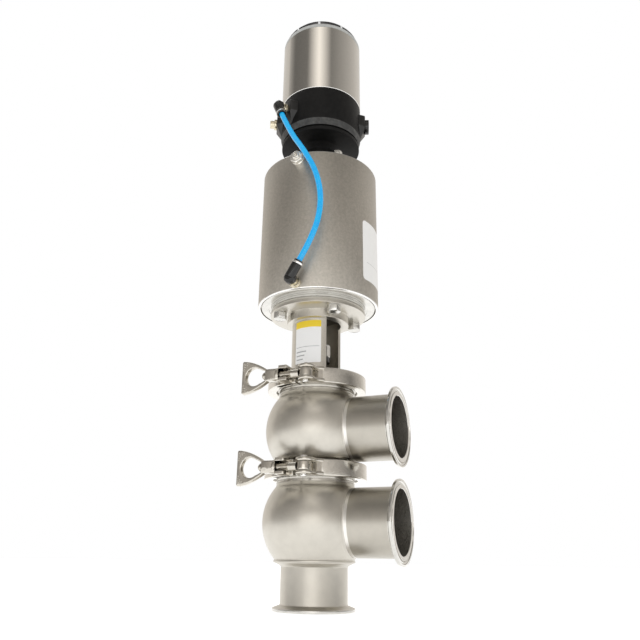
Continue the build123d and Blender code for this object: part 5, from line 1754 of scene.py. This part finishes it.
@dataclass
class AirLine:
    """The two push-in elbows with their nipples, and the blue tube between them."""

    body_radius: float = 6.2
    swivel_half: float = 6.0
    swivel_end: float = 3.2
    collet: float = 5.7
    arm: float = 19.0
    tube_radius: float = 3.0
    tube_length: float = 219.7
    route: list[tuple[float, float, float]] = field(default_factory=lambda: [
        (-22.87, -60.31, 519.35), (-8.0, -66.0, 486.0), (13.0, -76.0, 452.0), (31.0, -81.0, 416.0),
        (37.0, -82.0, 380.0), (29.0, -81.0, 346.0), (12.83, -80.35, 320.03),
    ])

    def nipple(self, name: str, height: float, bearing: float, wall: float, inner: float, reach: float) -> None:
        """Screwed nipple with a ribbed collar.

        Args:
            name: the CAD node that it stands for.
            height: height of its axis.
            bearing: compass bearing that it points to.
            wall: distance of the wall that it is screwed in.
            inner: where its thread ends.
            reach: distance of the elbow's axis.
        """
        end = reach - self.swivel_half
        outline = [(0, inner), (5.0, inner), (5.0, wall - 0.05), (5.8, wall - 0.05), (5.8, wall + 1.1), (5.2, wall + 1.4),
                   (5.2, wall + 1.8), (5.8, wall + 2.1), (5.8, wall + 3.9), (4.4, wall + 4.2), (4.4, wall + 4.9)]
        if end - wall > 5.4:
            outline.append((4.4, end))
        else:
            outline[-1] = (4.4, end)
        outline.append((0, end))
        solid = Solid.turned(outline, 48, 0.2)
        publish(solid.moved(lying(height, bearing)), f"{name}_ribbed", [BRASS], replaces=[name])

    def elbow(self, name: str, height: float, bearing: float, reach: float, end: Vector) -> None:
        """Black elbow with a bright ring at the tube's entry.

        Args:
            name: the CAD node that it stands for.
            height: height of its swivel.
            bearing: compass bearing that it points to.
            reach: distance of its centre from the valve's axis.
            end: where the tube leaves it.
        """
        half = self.swivel_half
        swivel = Solid.turned([(0, reach - half), (5.3, reach - half), (5.3, reach - half + 1.2), (self.body_radius, reach - half + 1.4),
                               (self.body_radius, reach + self.swivel_end - 2.6), (
                                   self.body_radius - 2.4, reach + self.swivel_end - 0.4
                               ),
                               (0, reach + self.swivel_end)], 48, 1.6).moved(lying(height, bearing))
        turn = math.radians(bearing)
        centre = Vector((reach * math.cos(turn), reach * math.sin(turn), height))
        way = (end - centre).normalized()
        arm = Solid.turned(
            [(0, 0), (5.3, 0), (5.3, self.arm - 4.4), (4.9, self.arm - 4.2), (4.9, self.arm - 1.8), (0, self.arm - 1.8)],
            48, 0.6
        )
        ring = Solid.turned(
            [(0, self.arm - 4.0), (self.collet, self.arm - 4.0), (self.collet, self.arm - 1.9), (0, self.arm - 1.9)],
            48, 0.35
        )
        collar = Solid.turned(
            [(0, self.arm - 2.0), (4.6, self.arm - 2.0), (4.6, self.arm - 0.2), (3.05, self.arm - 0.2), (3.05, self.arm - 1.0), (0, self.arm - 1.0)],
            48, 0.2
        )
        for face in ring.mesh.faces:
            face.material_index = 1
        place = aimed(centre, way)
        whole = united([swivel, arm.moved(place), ring.moved(place), collar.moved(place)])
        publish(whole, f"{name}_body", [FITTING_PLASTIC, BRIGHT_STEEL], replaces=[name])

    def tube(self) -> None:
        """Blue air tube, one smooth line from elbow to elbow."""
        curve = bpy.data.curves.new("blue_tube", "CURVE")
        curve.dimensions = "3D"
        spline = curve.splines.new("NURBS")
        spline.points.add(len(self.route) - 1)
        for point, place in zip(spline.points, self.route):
            point.co = (*[part * MM for part in place], 1.0)
        spline.order_u = 3
        spline.use_endpoint_u = True
        curve.bevel_depth = self.tube_radius * MM
        curve.bevel_resolution = 6
        curve.resolution_u = 24
        curve.use_fill_caps = True
        curve.materials.append(TUBE_BLUE.material())
        piece = bpy.data.objects.new("blue_tube", curve)
        bpy.context.scene.collection.objects.link(piece)
        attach(piece, "root")
        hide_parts("air_tube")
        LOG.info("blue_tube: %d route points", len(self.route))

    def build(self) -> None:
        """Build every piece of the air line."""
        self.nipple("lower_nipple", 303.9, -88.0, 65.0, 50.5, 80.0)
        self.nipple("head_nipple", 536.5, -118.0, 53.5, 44.4, 65.0)
        self.elbow("lower_elbow", 303.9, -88.0, 80.0, Vector(self.route[-1]))
        self.elbow("head_elbow", 536.5, -118.0, 65.0, Vector(self.route[0]))
        self.tube()


# Springs --------------------------------------------------------------------

@dataclass
class Springs:
    """The two springs in the barrel, which shorten as the plugs lift."""

    split: float = 372.0

    def turns(self, name: str) -> Solid:
        """A spring's own CAD mesh, merged, in millimetres."""
        solid = Solid()
        solid.mesh.from_mesh(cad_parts[name].data)
        bmesh.ops.remove_doubles(solid.mesh, verts=solid.mesh.verts, dist=1e-6)
        bmesh.ops.recalc_face_normals(solid.mesh, faces=solid.mesh.faces)
        return solid.moved(Matrix.Scale(1 / MM, 4))

    def fitted(self, solid: Solid, name: str, node: str) -> None:
        """Publish turns that ride on no body, their place baked into the mesh.

        Args:
            solid: the turns.
            name: name of the piece.
            node: the CAD node that it stands for.
        """
        piece = publish(solid, name, [SPRING], "", [node])
        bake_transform(piece)

    def build(self) -> None:
        """Build the springs: the main one in two lengths, one for each lift."""
        upper = self.turns("main_spring").sliced((0, 0, self.split), (0, 0, -1))
        self.fitted(upper, "main_spring_upper_turns", "main_spring")
        lower = self.turns("main_spring").sliced((0, 0, self.split), (0, 0, 1))
        self.fitted(lower, "main_spring_lower_turns", "main_spring")
        self.fitted(
            self.turns("upper_spring"), "upper_spring_turns", "upper_spring"
        )


# Inner parts ----------------------------------------------------------------

INNER_FINISHES: dict[str, Finish] = {
    "seat_ring": RING_STEEL, "joint_seals": RUBBER, "bonnet": RING_STEEL, "stem_seal": RUBBER, "stem_bush": POLYMER,
    "drain_seal_carrier": RING_STEEL, "drain_bush": POLYMER, "drain_seal": RUBBER, "lower_plug": CLAMP_STEEL,
    "lower_plug_seal": RUBBER, "upper_plug": CLAMP_STEEL, "upper_plug_seal": RUBBER, "actuator_sleeve": RING_STEEL,
    "inner_stem": RING_STEEL, "sensor_target": TARGET, "rod_bush": POLYMER, "piston": ALLOY, "piston_seal": RUBBER,
    "cover_seal": RUBBER, "circuit_board": BOARD,
    "position_sensor": GREY_PLASTIC, "pilot_valve": HEAD_PLASTIC,
}


def dress_inner_parts() -> None:
    """Give each CAD node that stays its material."""
    for name, finish in INNER_FINISHES.items():
        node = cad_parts[name]
        node.data.materials.clear()
        node.data.materials.append(finish.material())
        LOG.info("%s: CAD node kept, finish %s", name, finish.name)


# Studio ---------------------------------------------------------------------

@dataclass
class Studio:
    """Camera, lamps, surroundings and floor."""

    camera_place: tuple[float, float, float] = (0.2532, -0.5965, 0.045)
    heading: Point = (-0.3907, 0.9205)
    yaw: float = -0.19
    pitch: float = 20.5
    roll: float = 0.8
    lens: float = 36.0
    ceiling: Colour = (0.155, 0.149, 0.138)
    mirrored_level: float = 2.0
    soft_level: float = 0.94
    floor_glow: float = 0.62
    tint: Colour = (1.0, 0.95, 0.89)
    layer_edges: tuple[tuple[float, float], ...] = ((0.30, 0.42), (0.54, 0.63), (0.73, 0.81))

    def camera(self) -> None:
        """Camera at the photograph's angle."""
        data = bpy.data.cameras.new("camera")
        data.sensor_width = 36.0
        data.lens = self.lens
        data.clip_start = 0.01
        item = bpy.data.objects.new("camera", data)
        bpy.context.scene.collection.objects.link(item)
        turn = math.degrees(math.atan2(self.heading[1], self.heading[0])) + self.yaw - 90.0
        item.matrix_world = (
            Matrix.Translation(self.camera_place)
            @ Matrix.Rotation(math.radians(turn), 4, "Z")
            @ Matrix.Rotation(math.radians(90 + self.pitch), 4, "X")
            @ Matrix.Rotation(math.radians(self.roll), 4, "Z")
        )
        bpy.context.scene.camera = item

    def surroundings(self) -> None:
        """White studio, with broad lighter and darker panels for the metal to mirror."""
        world = bpy.data.worlds.new("studio")
        bpy.context.scene.world = world
        world.use_nodes = True
        tree = world.node_tree
        tree.nodes.clear()
        links, new = tree.links, tree.nodes.new
        output = new("ShaderNodeOutputWorld")
        coordinates = new("ShaderNodeTexCoord")
        parts = new("ShaderNodeSeparateXYZ")
        links.new(coordinates.outputs["Generated"], parts.inputs[0])
        bearing = new("ShaderNodeMath")
        bearing.operation = "ARCTAN2"
        links.new(parts.outputs["Y"], bearing.inputs[0])
        links.new(parts.outputs["X"], bearing.inputs[1])
        turned = new("ShaderNodeMapRange")
        for socket, value in zip(turned.inputs[1:5], (-math.pi, math.pi, 0.0, 1.0)):
            socket.default_value = value
        links.new(bearing.outputs[0], turned.inputs[0])
        layers = []
        low = self.panels(self.tint, (-180, 0.22), (-140, 0.18), (-65, 0.48), (15, 0.12), (80, 0.48), (140, 0.48))
        middle = self.panels(self.tint, (-180, 0.26), (-140, 0.17), (-75, 0.27), (-35, 0.20), (60, 0.44), (150, 0.42))
        high = self.panels(self.tint, (-180, 0.3), (-155, 0.1), (-110, 0.12), (-75, 0.85), (-40, 0.15), (60, 0.4))
        for stops in (low, middle, high):
            bands = new("ShaderNodeValToRGB")
            elements = bands.color_ramp.elements
            while len(elements) < len(stops):
                elements.new(0.5)
            for element, (degrees, level) in zip(elements, stops):
                element.position = (degrees + 180.0) / 360.0
                element.color = (*level, 1.0)
            links.new(turned.outputs[0], bands.inputs[0])
            layers.append(bands.outputs[0])
        overhead = new("ShaderNodeRGB")
        overhead.outputs[0].default_value = (*self.ceiling, 1.0)
        layers.append(overhead.outputs[0])
        seen_level = layers[0]
        for layer, (start, end) in zip(layers[1:], self.layer_edges):
            level = new("ShaderNodeMapRange")
            for socket, value in zip(level.inputs[1:5], (start, end, 0.0, 1.0)):
                socket.default_value = value
            links.new(parts.outputs["Z"], level.inputs[0])
            blended = new("ShaderNodeMix")
            blended.data_type = "RGBA"
            links.new(level.outputs[0], blended.inputs["Factor"])
            links.new(seen_level, blended.inputs["A"])
            links.new(layer, blended.inputs["B"])
            seen_level = blended.outputs["Result"]
        mirrored = new("ShaderNodeBackground")
        links.new(seen_level, mirrored.inputs["Color"])
        mirrored.inputs["Strength"].default_value = self.mirrored_level
        soft = new("ShaderNodeBackground")
        soft.inputs["Color"].default_value = (1.0, 0.99, 0.97, 1.0)
        soft.inputs["Strength"].default_value = self.soft_level
        white = new("ShaderNodeBackground")
        white.inputs["Strength"].default_value = 1.0
        white.inputs["Color"].default_value = (1, 1, 1, 1)
        path = new("ShaderNodeLightPath")
        seen = new("ShaderNodeMath")
        seen.operation = "MAXIMUM"
        links.new(path.outputs["Is Camera Ray"], seen.inputs[0])
        links.new(path.outputs["Is Transmission Ray"], seen.inputs[1])
        glossy = new("ShaderNodeMixShader")
        links.new(path.outputs["Is Glossy Ray"], glossy.inputs[0])
        links.new(soft.outputs[0], glossy.inputs[1])
        links.new(mirrored.outputs[0], glossy.inputs[2])
        blend = new("ShaderNodeMixShader")
        links.new(seen.outputs[0], blend.inputs[0])
        links.new(glossy.outputs[0], blend.inputs[1])
        links.new(white.outputs[0], blend.inputs[2])
        links.new(blend.outputs[0], output.inputs["Surface"])

    @staticmethod
    def panels(tint: Colour, *stops: tuple[float, float]) -> list[tuple[float, Colour]]:
        """Broad grey panels round the studio.

        Args:
            tint: the panels' common tint.
            stops: degrees from +X in rising order, each with a level.

        Returns:
            Degrees, each with a colour.
        """
        return [(degrees, (level * tint[0], level * tint[1], level * tint[2])) for degrees, level in stops]

    def lamps(self) -> None:
        """Wide soft box beside the camera and a soft box overhead."""
        middle = Vector((0, 0, 0.2))
        for name, place, size, power in (
            ("key", (0.25, -1.05, 0.16), (1.0, 0.30), 0.6),
            ("over", (-0.60, 0.06, 1.90), (0.8, 0.8), 2.6),
        ):
            data = bpy.data.lights.new(name, "AREA")
            data.shape = "ELLIPSE"
            data.size, data.size_y = size
            data.energy = power
            item = bpy.data.objects.new(name, data)
            bpy.context.scene.collection.objects.link(item)
            way = middle - Vector(place)
            item.matrix_world = Matrix.Translation(place) @ way.to_track_quat("-Z", "Y").to_matrix().to_4x4()

    def floor(self) -> None:
        """Pale floor that keeps the valve's shadow and looks the same to the camera and in the metal."""
        graph = Graph("floor")
        cloud = graph.noise(graph.place(), 60.0, 2, 0.5)
        graph.set_shader(
            Base_Color=graph.ramp(cloud, [(0.3, (0.80, 0.80, 0.80)), (0.7, (0.82, 0.82, 0.82))]), Roughness=0.8
        )
        path = graph.tree.nodes.new("ShaderNodeLightPath")
        mirrored = graph.maths("MAXIMUM", path.outputs["Is Glossy Ray"], path.outputs["Is Transmission Ray"])
        seen = graph.maths("MAXIMUM", path.outputs["Is Camera Ray"], mirrored)
        graph.feed(graph.shader.inputs["Emission Strength"], graph.maths("MULTIPLY", seen, self.floor_glow))
        graph.shader.inputs["Emission Color"].default_value = (1, 1, 1, 1)
        data = bpy.data.meshes.new("floor")
        mesh = bmesh.new()
        bmesh.ops.create_grid(mesh, x_segments=1, y_segments=1, size=6.0)
        bmesh.ops.translate(mesh, verts=mesh.verts, vec=(0, 0, -0.0001))
        mesh.to_mesh(data)
        mesh.free()
        data.materials.append(graph.material)
        item = bpy.data.objects.new("floor", data)
        bpy.context.scene.collection.objects.link(item)

    def build(self) -> None:
        """Set up the whole studio."""
        self.camera()
        self.surroundings()
        self.lamps()
        self.floor()
        bpy.context.scene.view_settings.view_transform = "Standard"


def main() -> None:
    """Build the valve and its studio."""
    logging.basicConfig(level=logging.INFO, format="%(message)s")
    Studio().build()
    AirLine().build()
    ProductBody().build()
    JointClamp(Side.LOWER, 124.5).build()
    JointClamp(Side.UPPER, 212.5).build()
    Yoke().build()
    StemCoupling().build()
    Actuator().build()
    ControlHead().build()
    Springs().build()
    dress_inner_parts()


if __name__ == "__main__":
    main()
